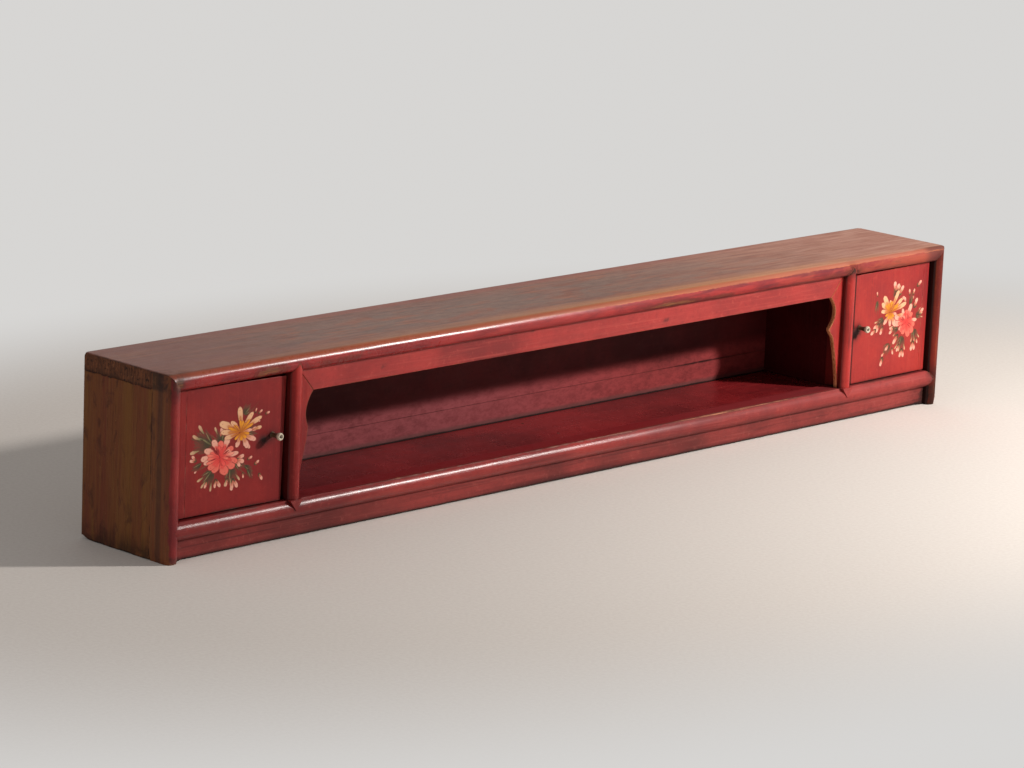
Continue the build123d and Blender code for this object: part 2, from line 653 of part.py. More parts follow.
def make_door_battens(side):
    """Two battens across the back of a door, which hold its board to its pivot stile."""
    x_limits = (side * (DOOR_SIDE - DOOR_THICKNESS), side * (STILE_OUTER + DOOR_BATTEN_END))
    depths = (DOOR_BACK, DOOR_BACK + DOOR_BATTEN_THICKNESS)
    low = DOOR_BASE + DOOR_BATTEN_MARGIN
    high = DOOR_TOP - DOOR_BATTEN_MARGIN
    with BuildPart() as battens:
        block(x_limits, depths, (low, low + DOOR_BATTEN_HEIGHT))
        block(x_limits, depths, (high - DOOR_BATTEN_HEIGHT, high))
    return battens.part


def make_door_stop(side):
    """A strip on the side of a stile, behind the door's free edge, on which the door closes."""
    near = DOOR_BACK + STOP_GAP
    x_limits = (side * STILE_OUTER, side * (STILE_OUTER + STOP_WIDTH))
    with BuildPart() as stop:
        block(x_limits, (near, near + STOP_DEPTH), (RAIL_TOP, TOP_BASE))
        for place in stop_nail_places(side):
            nail(place, STOP_NAIL_LENGTH, Mode.SUBTRACT)
    return stop.part


# ---------------------------------------------------------------- knobs
def knob_plane(side, height):
    """Plane on a door's face at its knob, facing out of the door."""
    middle = (side * (STILE_OUTER + KNOB_FROM_EDGE), FRONT + DOOR_FACE, height)
    return Plane(origin=middle, x_dir=(1, 0, 0), z_dir=(0, -1, 0))


def turned(side, height, draw):
    """Turns a half profile about the knob's axis; its drawing has Y running into the door."""
    origin = knob_plane(side, height).origin
    with BuildPart() as piece:
        with BuildSketch(Plane(origin=origin, x_dir=(1, 0, 0), z_dir=(0, 0, 1))):
            with BuildLine():
                draw()
            make_face()
        revolve(axis=Axis(origin, (0, 1, 0)))
    return piece.part


def knob_profile():
    """Knob that narrows from its base to a neck and flares to a cupped head."""
    bore = KNOB_PIN_RADIUS + PIN_PLAY
    cup = KNOB_CUP_DEPTH - KNOB_LENGTH
    rim = (KNOB_HEAD_RADIUS, KNOB_HEAD_ROUNDING - KNOB_LENGTH)
    face = (KNOB_FACE_RADIUS, -KNOB_LENGTH)
    Line((bore, 0), (KNOB_BASE_RADIUS, 0))
    Spline((KNOB_BASE_RADIUS, 0), (KNOB_NECK_RADIUS, -KNOB_NECK_DISTANCE), rim)
    SagittaArc(rim, face, KNOB_HEAD_SAGITTA)
    Polyline(face, (KNOB_CUP_RADIUS, -KNOB_LENGTH), (KNOB_CUP_RADIUS, cup), (bore, cup), (bore, 0))


def knob_pin_profile():
    """Pin through the knob and the door, headed in the knob's cup and clenched on a washer."""
    near = KNOB_CUP_DEPTH - KNOB_LENGTH
    far = DOOR_THICKNESS + KNOB_WASHER_THICKNESS
    Polyline(
        (0, near - KNOB_PIN_HEAD),
        (KNOB_PIN_HEAD_RADIUS, near - KNOB_PIN_HEAD),
        (KNOB_PIN_HEAD_RADIUS, near),
        (KNOB_PIN_RADIUS, near),
        (KNOB_PIN_RADIUS, far),
        (KNOB_PIN_HEAD_RADIUS, far),
        (KNOB_PIN_RADIUS, far + KNOB_PIN_HEAD),
        (0, far + KNOB_PIN_HEAD),
        close=True,
    )


def knob_washer_profile():
    """Washer on the back of the door."""
    bore = KNOB_PIN_RADIUS + PIN_PLAY
    near, far = DOOR_THICKNESS, DOOR_THICKNESS + KNOB_WASHER_THICKNESS
    Polyline((bore, near), (KNOB_WASHER_RADIUS, near), (KNOB_WASHER_RADIUS, far), (bore, far), close=True)


# ---------------------------------------------------------------- nails
def make_nails(places, length):
    """A group of separate nails."""
    with BuildPart() as nails:
        for place in places:
            nail(place, length)
    return nails.part


# ---------------------------------------------------------------- assembly
def save(piece, name):
    piece.label = name
    export_step(piece, f"parts/{name}.step")


os.makedirs("parts", exist_ok=True)

save(make_top(), "top_plank")
save(make_bottom_rail(), "bottom_rail")
save(make_lower_apron(), "lower_apron")
save(make_top_apron(), "top_apron")
save(make_floor_board(), "floor_board")
save(make_back_board(BACK_FOOT, BACK_SEAM - BACK_SEAM_GAP / 2), "lower_back_board")
save(make_back_board(BACK_SEAM + BACK_SEAM_GAP / 2, TOP_BASE + HOUSING), "upper_back_board")
for place_name, bearer_x in BEARER_PLACES.items():
    save(make_bearer(bearer_x), f"{place_name}_floor_bearer")
save(make_nails(floor_nail_places(), NAIL_LENGTH), "floor_nails")
save(make_nails(back_nail_places(), NAIL_LENGTH), "back_nails")

SIDES = {"left": LEFT, "right": RIGHT}
CUSPS = {"left": LEFT_CUSP_REACH, "right": RIGHT_CUSP_REACH}
KNOB_HEIGHTS = {"left": LEFT_KNOB_HEIGHT, "right": RIGHT_KNOB_HEIGHT}
# How far each door's free edge is out of square: drop at the head, drop at the foot, lean.
DOOR_ERRORS = {"left": (4.0, 1.5, 6.0), "right": (1.0, 1.0, 0.0)}

for name, side in SIDES.items():
    knob_height = KNOB_HEIGHTS[name]
    save(make_front_post(side), f"{name}_front_post")
    save(make_end_panel(side), f"{name}_end_panel")
    save(make_stile(side), f"{name}_stile")
    save(make_divider(side), f"{name}_divider")
    save(make_spandrel(side, CUSPS[name]), f"{name}_spandrel")
    save(make_door_stop(side), f"{name}_door_stop")
    save(make_nails(stop_nail_places(side), STOP_NAIL_LENGTH), f"{name}_stop_nails")
    save(make_pivot_stile(side), f"{name}_door_pivot_stile")
    save(make_door_board(side, *DOOR_ERRORS[name], knob_height), f"{name}_door_board")
    save(make_door_battens(side), f"{name}_door_battens")
    save(turned(side, knob_height, knob_profile), f"{name}_knob")
    save(turned(side, knob_height, knob_pin_profile), f"{name}_knob_pin")
    save(turned(side, knob_height, knob_washer_profile), f"{name}_knob_washer")
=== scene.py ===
from itertools import product
from math import cos, pi, radians, sin

import bmesh
import bpy
import numpy as np
from mathutils import Matrix, Vector


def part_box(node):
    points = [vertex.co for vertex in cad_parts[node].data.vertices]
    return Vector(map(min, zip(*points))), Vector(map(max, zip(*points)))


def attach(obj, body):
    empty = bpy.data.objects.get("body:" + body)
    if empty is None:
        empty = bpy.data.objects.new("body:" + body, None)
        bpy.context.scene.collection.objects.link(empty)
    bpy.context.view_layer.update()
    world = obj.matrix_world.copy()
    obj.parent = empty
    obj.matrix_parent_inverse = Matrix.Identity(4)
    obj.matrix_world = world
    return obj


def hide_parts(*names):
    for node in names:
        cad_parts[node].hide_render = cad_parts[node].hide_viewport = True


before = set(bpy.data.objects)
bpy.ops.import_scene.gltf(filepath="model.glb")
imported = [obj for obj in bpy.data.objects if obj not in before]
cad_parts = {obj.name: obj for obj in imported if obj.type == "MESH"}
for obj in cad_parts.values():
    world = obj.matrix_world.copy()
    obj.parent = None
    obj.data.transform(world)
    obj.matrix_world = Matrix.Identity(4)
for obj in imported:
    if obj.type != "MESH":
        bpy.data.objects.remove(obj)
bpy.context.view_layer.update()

# A worn, red-lacquered kang cabinet. Metres. X runs along the length, Y from front to back, Z up.
# "Depth" is the distance behind the foremost line of the front, and "side" is -1 left or 1 right.

# ---- sizes taken from the frame
MM = 0.001
SIDES = {"left": -1, "right": 1}


def corners(node):
    """Lowest and highest corner of a CAD node, as arrays."""
    low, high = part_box(node)
    return np.array(low), np.array(high)


TOP_LOW, TOP_HIGH = corners("top_plank")
STILE_LOW, STILE_HIGH = corners("right_stile")
DIVIDER_LOW, DIVIDER_HIGH = corners("right_divider")
UPPER_BACK_LOW, UPPER_BACK_HIGH = corners("upper_back_board")
LOWER_BACK_LOW, LOWER_BACK_HIGH = corners("lower_back_board")
APRON_LOW, _ = corners("top_apron")
SKIRT_LOW, SKIRT_HIGH = corners("lower_apron")

END, REAR, HEIGHT = TOP_HIGH
FRONT, TOP_BASE = TOP_LOW[1:]
RAIL_BASE, RAIL_TOP = [corner[2] for corner in corners("bottom_rail")]
RAIL_MIDDLE = (RAIL_TOP + RAIL_BASE) / 2
POST_SIDE = corners("right_front_post")[0][0]
FRAME_BACK = corners("right_front_post")[1][1]
PANEL_SIDE = corners("right_end_panel")[0][0]
STILE_INNER, STILE_OUTER = STILE_LOW[0], STILE_HIGH[0]
STILE_CENTRE = (STILE_INNER + STILE_OUTER) / 2
STILE_HALF = (STILE_OUTER - STILE_INNER) / 2
BACK_FACE, BACK_REAR = UPPER_BACK_LOW[1], UPPER_BACK_HIGH[1]
SHELF_BASE = corners("middle_floor_bearer")[1][2]
SHELF_TOP = corners("floor_board")[1][2]
BACK_DEPTH = (BACK_FACE - FRONT) / MM

# ---- shapes of the joinery
NOSE = 12 * MM  # depth of the half-round fronts
STILE_POINT = 16 * MM
RAIL_POINT = 12 * MM
TOP_EASE = 4.5 * MM
BACK_EASE = 6 * MM
CORNER_WEAR = 7 * MM
ARRIS = 0.9 * MM  # rounding of a handled edge
SAWN_ARRIS = 0.5 * MM
DOOR_ARRIS = 0.45 * MM
BACK_ARRIS = 0.12 * MM
FAR_FROM_ARRIS = 50 * MM
CLOSE_LINES = (0.3 * MM, 0.9 * MM, 2.5 * MM, 6 * MM)  # grid lines beside an arris
CELL = 7 * MM  # usual distance between grid lines
FINE_CELL = 4 * MM
NOSE_ROWS = 18
CUT_SLACK = 0.2 * MM
CUT_PAST = 1 * MM  # of a notch, past the surface that it's cut into
CUT_MARGIN = 0.4 * MM
CUT_ARRIS = 4 * MM  # arris field along a cut, which keeps its edges from looking worn
PAINT_LIMIT = 6 * MM  # below the top, where the red lacquer of the rounded front begins
SHADOW_LINE_ON_BACK = 118 * MM  # height of the painted shadow line on the shelf's back: the dust, which is partly painted light, stays below it
ON_FACE = 1e-9
TINY = 1e-12


# ---- noise and small array helpers
def lattice_noise(points, seed=0):
    """Smooth noise from -1 to 1 with features one unit across."""
    cell = np.floor(points).astype(np.int64)
    part = points - cell
    part = part * part * (3 - 2 * part)
    total = np.zeros(len(points))
    for corner in product((0, 1), repeat=3):
        key = (cell + corner) @ np.array([73856093, 19349663, 83492791]) + seed * 6364136
        key = (key ^ (key >> 13)) * 1274126177 & 0xFFFFFFFF
        key = (key ^ (key >> 15)) * 668265263 & 0xFFFFFFFF
        value = (key >> 8 & 0xFFFF) / 32767.5 - 1
        total += value * np.prod(np.where(corner, part, 1 - part), axis=1)
    return total


def layered_noise(points, scale, seed=0, layers=3):
    """Several octaves of smooth noise. The scale is in features per metre, one value per axis."""
    total = np.zeros(len(points))
    scaled = points * np.array(scale)
    for layer in range(layers):
        total += lattice_noise(scaled * 2**layer, seed + layer) / 2**layer
    return total / (2 - 2 ** (1 - layers))


def unit_noise(*arguments):
    """The same noise from 0 to 1."""
    return 0.5 + 0.5 * layered_noise(*arguments)


def smooth_step(value, low, high):
    part = np.clip((value - low) / (high - low), 0, 1)
    return part * part * (3 - 2 * part)


def grid_lines(low, high, cell, close=CLOSE_LINES):
    """Grid lines from low to high about a cell apart, with closer lines beside both ends."""
    near = np.array([0.0] + [d for d in close if d < (high - low) / 2.2])
    inner = (low + near[-1], high - near[-1])
    count = max(1, round((inner[1] - inner[0]) / cell))
    middle = np.linspace(*inner, count + 1)[1:-1]
    return np.concatenate([low + near, middle, high - near[::-1]])


def nose_lines(middle, half):
    """Grid lines across a half-round front, closer towards its two edges."""
    return middle + half * np.sin(np.linspace(-pi / 2, pi / 2, NOSE_ROWS + 1))


def lattice(xs, ys, zs):
    """Surface points and outward faces of a block cut up along the given grid lines."""
    lines = (xs, ys, zs)
    surface = np.zeros([len(line) for line in lines], bool)
    sheets = [
        (axis, end, tuple(end if a == axis else slice(None) for a in range(3)))
        for axis, end in product(range(3), (0, -1))
    ]
    for _, _, sheet in sheets:
        surface[sheet] = True
    index = np.full(surface.shape, -1)
    index[surface] = np.arange(surface.sum())
    cells = np.argwhere(surface)
    points = np.stack([lines[a][cells[:, a]] for a in range(3)], axis=1)
    faces = []
    for axis, end, sheet in sheets:
        numbers = index[sheet]
        quads = np.stack([numbers[:-1, :-1], numbers[1:, :-1], numbers[1:, 1:], numbers[:-1, 1:]], axis=-1)
        outward = (end == -1) == (axis != 1)
        faces.append(quads.reshape(-1, 4)[:, :: 1 if outward else -1])
    return points, np.concatenate(faces)


def arris_distance(points, low, high, nosed_along=None):
    """Distance of each surface point from the nearest sharp edge of its block."""
    gaps = np.concatenate([points - low, high - points], axis=1)
    if nosed_along is None:
        return np.sort(gaps, axis=1)[:, 1]
    front = gaps[:, 1] < ON_FACE
    gaps[:, 1] = 1.0
    to_ends = np.minimum(gaps[:, nosed_along], gaps[:, nosed_along + 3])
    return np.where(front, to_ends, np.sort(gaps, axis=1)[:, 1])


def eased(points, low, high, radius, nosed=False):
    """Rounds the edges of a block, apart from the front ones of a nosed block."""
    core_low, core_high = low + radius, high - radius
    if nosed:
        core_low[1] = -1.0
    core = np.clip(points, core_low, core_high)
    away = points - core
    length = np.linalg.norm(away, axis=1)
    return core + away * np.where(length > 0, radius / np.maximum(length, TINY), 0)[:, None]


def rounded(away, radius):
    """Draws points that stick out of a rounded corner in to its radius. They start at its centre."""
    length = np.maximum(np.linalg.norm(away, axis=1), ON_FACE)
    return away * np.minimum(1, radius / length)[:, None]


def roughened(points, faces, depth, scale, seed):
    """Sinks the surface by up to the depth, unevenly, as hand tools and wear leave it."""
    corner = [points[faces[:, i]] for i in range(4)]
    across = np.cross(corner[2] - corner[0], corner[3] - corner[1])
    normal = np.zeros_like(points)
    for i in range(4):
        np.add.at(normal, faces[:, i], across)
    normal /= np.maximum(np.linalg.norm(normal, axis=1), TINY)[:, None]
    return points - normal * (depth * unit_noise(points, scale, seed))[:, None]


# ---- wear, grime and painted shadow that have a place
# Each patch is its centre as X, depth and Z, its reach along X, Y and Z, all in millimetres, and a strength.
WEAR = {
    "rubbed": (
        (-560, 0, 270, 100, 20, 14, 0.55), (-705, 0, 270, 45, 20, 14, 1.0), (-886, 2, 273, 15, 12, 14, 1.1),
        (190, 3, 267, 90, 20, 8, 1.0), (300, 3, 266, 60, 20, 6, 0.8), (600, 2, 268, 50, 20, 12, 0.6),
        (888, 4, 20, 30, 50, 50, 0.8), (640, 2, 268, 30, 20, 12, 0.6), (885, 6, 150, 20, 12, 50, 0.4),
        (780, 14, 20, 60, 20, 30, 0.3), (-889, 10, 4, 30, 40, 12, 0.7), (-765, 12, 62, 70, 20, 6, 0.8),
        (-380, 9, 62, 250, 6, 3, 0.9), (0, 9, 62, 250, 6, 3, 1.0), (350, 9, 62, 300, 6, 3, 1.2),
        (760, 11, 62, 120, 8, 4, 0.8),
    ),
    "grime_and_shadow": (
        (-886, 8, 280, 24, 30, 13, 0.6), (-889, 2, 262, 12, 12, 12, 0.45), (860, 12, 20, 18, 20, 30, 0.6),
        (889, 4, 10, 40, 50, 35, 0.9), (885, 4, 48, 12, 20, 22, 0.8), (885, 4, 270, 14, 20, 12, 0.5),
        (470, BACK_DEPTH, 98, 100, 10, 1.8, 0.9), (-760, 24, 63, 160, 12, 3, 1.0),
        # The patches beside the knobs are partly real grime and partly a painted shadow of the knobs.
        (760, 24, 63, 160, 12, 3, 1.0), (-703, 15, 161, 12, 10, 9, 1.0), (-690, 15, 166, 11, 10, 9, 0.9),
        (674, 15, 153, 12, 10, 12, 1.3), (681, 15, 158, 13, 10, 11, 1.3), (647, 0, 270, 20, 20, 12, 0.8),
        (-647, 2, 60, 16, 20, 12, 0.5), (183, 8, 238, 7, 20, 3, 0.9), (-459, 8, 244, 4, 20, 3, 0.9),
        (-134, 10, 259, 3, 20, 3, 0.9), (380, BACK_DEPTH, 110, 90, 20, 22, 0.30),
    ),
}


def patch_strength(points, patches):
    total = np.zeros(len(points))
    for *place_and_reach, strength in patches:
        centre, reach = np.array(place_and_reach).reshape(2, 3) * MM
        distance = ((points - (0, FRONT, 0) - centre) / reach) ** 2
        total = np.maximum(total, strength * np.exp(-distance.sum(axis=1)))
    return total


# ---- making and placing pieces
def add_object(name, data):
    made = bpy.data.objects.new(name, data)
    bpy.context.scene.collection.objects.link(made)
    return made


def build(name, points, faces, fields=None, sharp=40):
    """Makes a smooth-shaded mesh object whose point fields the materials read."""
    mesh = bpy.data.meshes.new(name)
    mesh.from_pydata([tuple(p) for p in points], [], [tuple(int(i) for i in f) for f in faces])
    worn = {field: patch_strength(points, patches) for field, patches in WEAR.items()}
    plain = {"arris": np.full(len(points), FAR_FROM_ARRIS)}
    for field, values in {**worn, **plain, **(fields or {})}.items():
        layer = mesh.attributes.new(field, "FLOAT", "POINT")
        layer.data.foreach_set("value", np.asarray(values, np.float32))
    mesh.polygons.foreach_set("use_smooth", [True] * len(mesh.polygons))
    mesh.set_sharp_from_angle(angle=radians(sharp))
    mesh.update()
    return add_object(name, mesh)


def place(piece, body, slot, nodes, *materials):
    """Gives a piece its materials and its body, and hides the CAD nodes that it stands for. The slot is not
    used.
    """
    for material in materials:
        piece.data.materials.append(material)
    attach(piece, body)
    if nodes:
        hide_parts(*nodes)
    return piece


def fix_winding(mesh):
    """Turns a closed mesh's faces outward."""
    work = bmesh.new()
    work.from_mesh(mesh)
    bmesh.ops.recalc_face_normals(work, faces=work.faces)
    work.to_mesh(mesh)
    work.free()


def cut(piece, outline):
    """Cuts a notch, drawn on the front as X and Z corners, through a piece's rounded front."""
    count = len(outline)
    points = [(x, FRONT + depth, z) for depth in (-CUT_PAST, NOSE) for x, z in outline]
    walls = [(i, (i + 1) % count, count + (i + 1) % count, count + i) for i in range(count)]
    faces = [tuple(range(count))[::-1], tuple(range(count, 2 * count)), *walls]
    mesh = bpy.data.meshes.new("cutter")
    mesh.from_pydata(points, [], faces)
    fix_winding(mesh)
    cutter = add_object("cutter", mesh)
    modifier = piece.modifiers.new("cut", "BOOLEAN")
    modifier.operation = "DIFFERENCE"
    modifier.solver = "EXACT"
    modifier.object = cutter
    graph = bpy.context.evaluated_depsgraph_get()
    result = bpy.data.meshes.new_from_object(piece.evaluated_get(graph))
    piece.modifiers.clear()
    old = piece.data
    piece.data = result
    bpy.data.meshes.remove(old)
    bpy.data.objects.remove(cutter)
    low = np.min(outline, axis=0) - CUT_MARGIN
    high = np.max(outline, axis=0) + CUT_MARGIN
    for vertex, value in zip(result.vertices, result.attributes["arris"].data):
        if low[0] < vertex.co.x < high[0] and low[1] < vertex.co.z < high[1]:
            value.value = max(value.value, CUT_ARRIS)


def cut_for_stiles(piece, level, way):
    """Cuts the notches for the points of both stiles, above (1) or below (-1) a level."""
    reach = STILE_HALF + CUT_SLACK
    for side in SIDES.values():
        centre = side * STILE_CENTRE
        start = level - way * CUT_PAST
        tip = level + way * (STILE_POINT + CUT_SLACK)
        left, right = centre - reach, centre + reach
        cut(piece, [(left, start), (right, start), (right, level), (centre, tip), (left, level)])


def slab(name, low, high, seed, radius=ARRIS, cell=CELL, depth=0.25 * MM, grain=(6, 60, 60), shape=None):
    """A sawn board with rounded, uneven arrises. The shape function bends its points at the end."""
    low, high = np.array(low, float), np.array(high, float)
    points, faces = lattice(*[grid_lines(low[a], high[a], cell) for a in range(3)])
    fields = {"arris": arris_distance(points, low, high)}
    points = eased(points, low, high, radius)
    points = roughened(points, faces, depth, grain, seed)
    if shape:
        points = shape(points)
    return build(name, points, faces, fields)


def board(node, block, seed, slot, *materials, **sawing):
    """A board of the carcass, in place of the CAD node of that name."""
    return place(slab(f"{node}_wood", *block, seed, **sawing), "carcass", slot, [node], *materials)


def side_block(side, xs, ys, zs):
    """Lowest and highest corner of a block on one side, from its distances from the middle."""
    x_low, x_high = sorted(side * x for x in xs)
    return np.array((x_low, ys[0], zs[0])), np.array((x_high, ys[1], zs[1]))


def nose_depth(across, half_width):
    """Depth of a half-round front at a distance across from its crest."""
    share = np.clip(across / half_width, -1, 1)
    return NOSE * (1 - np.sqrt(np.maximum(1 - share**2, 0)))


def nose_crest(front, across, half_width):
    """1 on the crest of a half-round front, 0 at its edges and behind it."""
    return np.where(front, np.sqrt(np.maximum(1 - (across / half_width) ** 2, 0)), 0)


def nosed(name, low, high, along, seed, ends):
    """A member with a half-round front along X (0) or Z (2). The ends function shapes its ends."""
    low, high = np.array(low, float), np.array(high, float)
    across = 2 - along
    middle, half = (low[across] + high[across]) / 2, (high[across] - low[across]) / 2
    lines = [None, None, None]
    lines[along] = grid_lines(low[along], high[along], FINE_CELL, (0.5 * MM, 2 * MM))
    lines[across] = nose_lines(middle, half)
    behind = grid_lines(low[1] + NOSE, high[1], CELL, (0.1 * MM, 1 * MM, 3 * MM))
    lines[1] = np.concatenate([[low[1]], behind])
    points, faces = lattice(*lines)
    front = points[:, 1] < low[1] + ON_FACE
    offset = points[:, across] - middle
    fields = {"arris": arris_distance(points, low, high, along)}
    crest = nose_crest(front, offset, half)
    points = eased(points, low, high, ARRIS, nosed=True)
    points[:, 1] += np.where(front, nose_depth(offset, half), 0)
    points = roughened(points, faces, 0.3 * MM, (5, 40, 60) if along == 0 else (60, 40, 6), seed)
    points[:, 1] += np.where(front, 0.5 * MM * unit_noise(points, (9, 9, 9), seed + 31, 2) * crest, 0)
    return build(name, ends(points), faces, fields)


# ---- node graphs
def rgb(code):
    """Linear colour from a hexadecimal sRGB code."""
    values = [int(code[i : i + 2], 16) / 255 for i in (1, 3, 5)]
    return [v / 12.92 if v <= 0.04045 else ((v + 0.055) / 1.055) ** 2.4 for v in values] + [1.0]


class Value:
    """A node's output, for sums, differences and products with other outputs and numbers."""

    def __init__(self, graph, socket):
        self.graph, self.socket = graph, socket

    def __add__(self, other):
        return self.graph.math("ADD", self, other)

    def __sub__(self, other):
        return self.graph.math("SUBTRACT", self, other)

    def __mul__(self, other):
        return self.graph.math("MULTIPLY", self, other)

    def __abs__(self):
        return self.graph.math("ABSOLUTE", self)


class Nodes:
    """The node graph of a material or a world, with short names for the nodes that they use."""

    def __init__(self, owner):
        owner.use_nodes = True
        self.tree = owner.node_tree
        self.tree.nodes.clear()

    def node(self, kind, inputs=None, **settings):
        made = self.tree.nodes.new(kind)
        for key, value in settings.items():
            setattr(made, key, value)
        for key, value in (inputs or {}).items():
            self.feed(made.inputs[key], value)
        return made

    def feed(self, socket, value):
        """Links a socket to an output, or sets it to a number, a vector or a hexadecimal colour."""
        if isinstance(value, Value):
            value = value.socket
        if isinstance(value, bpy.types.NodeSocket):
            self.tree.links.new(value, socket)
        else:
            socket.default_value = rgb(value) if isinstance(value, str) else value

    def out(self, kind, inputs=None, output=0, **settings):
        return Value(self, self.node(kind, inputs, **settings).outputs[output])

    def math(self, operation, first, second=0.0):
        return self.out("ShaderNodeMath", {0: first, 1: second}, operation=operation)

    def least(self, first, second):
        return self.math("MINIMUM", first, second)

    def most(self, first, second):
        return self.math("MAXIMUM", first, second)

    def smooth(self, value, low, high):
        """0 at the low value and beyond, 1 at the high one, and smooth between. Low may be the larger."""
        inputs = {"Value": value, "From Min": low, "From Max": high}
        return self.out("ShaderNodeMapRange", inputs, interpolation_type="SMOOTHSTEP")

    def span(self, value, low, high):
        """Maps 0 to 1 linearly to low to high."""
        return self.out("ShaderNodeMapRange", {"Value": value, "To Min": low, "To Max": high})

    def seen(self):
        """1 for what the camera sees, straight or through glass, and 0 for the light on things."""
        path = self.node("ShaderNodeLightPath").outputs
        return self.most(path["Is Camera Ray"], path["Is Transmission Ray"])


class Graph(Nodes):
    """A material's node graph. It starts with the shader, the output and the place on the object."""

    def __init__(self, name):
        self.material = bpy.data.materials.new(name)
        super().__init__(self.material)
        self.shader = self.node("ShaderNodeBsdfPrincipled")
        self.output = self.node("ShaderNodeOutputMaterial", {"Surface": self.shader.outputs["BSDF"]})
        self.place = self.node("ShaderNodeTexCoord").outputs["Object"]

    def stretched(self, scale):
        scale = scale if isinstance(scale, tuple) else (scale, scale, scale)
        return self.out("ShaderNodeMapping", {"Vector": self.place, "Scale": scale})

    def noise(self, scale, detail, roughness, distortion=0.0, seed=0.0):
        """Noise from 0 to 1. The scale is in features per metre, for all axes or for X, Y and Z."""
        inputs = {"Vector": self.stretched(scale), "W": seed, "Scale": 1.0}
        inputs.update({"Detail": detail, "Roughness": roughness, "Distortion": distortion})
        return self.out("ShaderNodeTexNoise", inputs, noise_dimensions="4D")

    def cells(self, scale):
        return self.out("ShaderNodeTexVoronoi", {"Vector": self.stretched(scale), "Scale": 1.0}, "Distance")

    def field(self, name, output="Fac"):
        return self.out("ShaderNodeAttribute", None, output, attribute_name=name)

    def mix(self, share, first, second):
        return self.out("ShaderNodeMix", {0: share, 6: first, 7: second}, 2, data_type="RGBA")

    def coats(self, colour, *coats):
        """The colour under coats, each given as a share from 0 to 1 and a colour.

        A coat with four values before its colour has the smooth step of the first, from the second to
        the third, times the fourth for its share.
        """
        for *share, coat in coats:
            share = share[0] if len(share) == 1 else self.smooth(*share[:3]) * share[3]
            colour = self.mix(share, colour, coat)
        return colour

    def axis(self, name):
        return self.out("ShaderNodeSeparateXYZ", {0: self.place}, name)

    def depth(self):
        return self.axis("Y") - FRONT

    def crevice(self, distance):
        """Shade in the corners and seams, from ambient occlusion: 1 there and 0 in the open. The materials
        paint it into their colours as painted shade.
        """
        shade = self.out("ShaderNodeAmbientOcclusion", {"Distance": distance}, "AO", samples=6)
        return self.math("SUBTRACT", 1.0, shade)

    def grime_and_shadow_patches(self, blotch):
        """Grime where the dark patches are, and beside the knobs a painted shadow."""
        return self.field("grime_and_shadow") * self.span(self.smooth(blotch, 0.35, 0.6), 0.45, 1.15)

    def finish(self, colour, roughness, height, relief, coat=0.0, specular=0.35, coat_roughness=0.22):
        bump = self.out("ShaderNodeBump", {"Height": height, "Distance": relief, "Strength": 1.0})
        inputs = {"Base Color": colour, "Roughness": roughness, "Normal": bump, "Coat Weight": coat}
        inputs.update({"Coat Roughness": coat_roughness, "Specular IOR Level": specular})
        for name, value in inputs.items():
            self.feed(self.shader.inputs[name], value)
        return self.material


# ---- materials
ALONG_X = (7, 240, 240)
ALONG_Y = (240, 7, 240)
ALONG_Z = (240, 240, 7)
# Colour of grime, which also serves as painted shade in corners and seams.
GRIME_AND_SHADE = "#150A08"
MOST_GRIME_AND_SHADE = 0.93
# A look's crevice shade is the strength of its painted shade in corners and seams.
USUAL_LOOK = {"streaky": 0.3, "stained": 0.5, "pale_edge": 0.5, "dirt": 0.7, "rub": 0.0}


def palette(codes):
    """The colours of a lacquer, from its paint to the bare wood under it."""
    return dict(zip(("paint", "deep", "light", "wood", "bare"), codes.split()))


def times(scale, factor):
    return tuple(value * factor for value in scale)


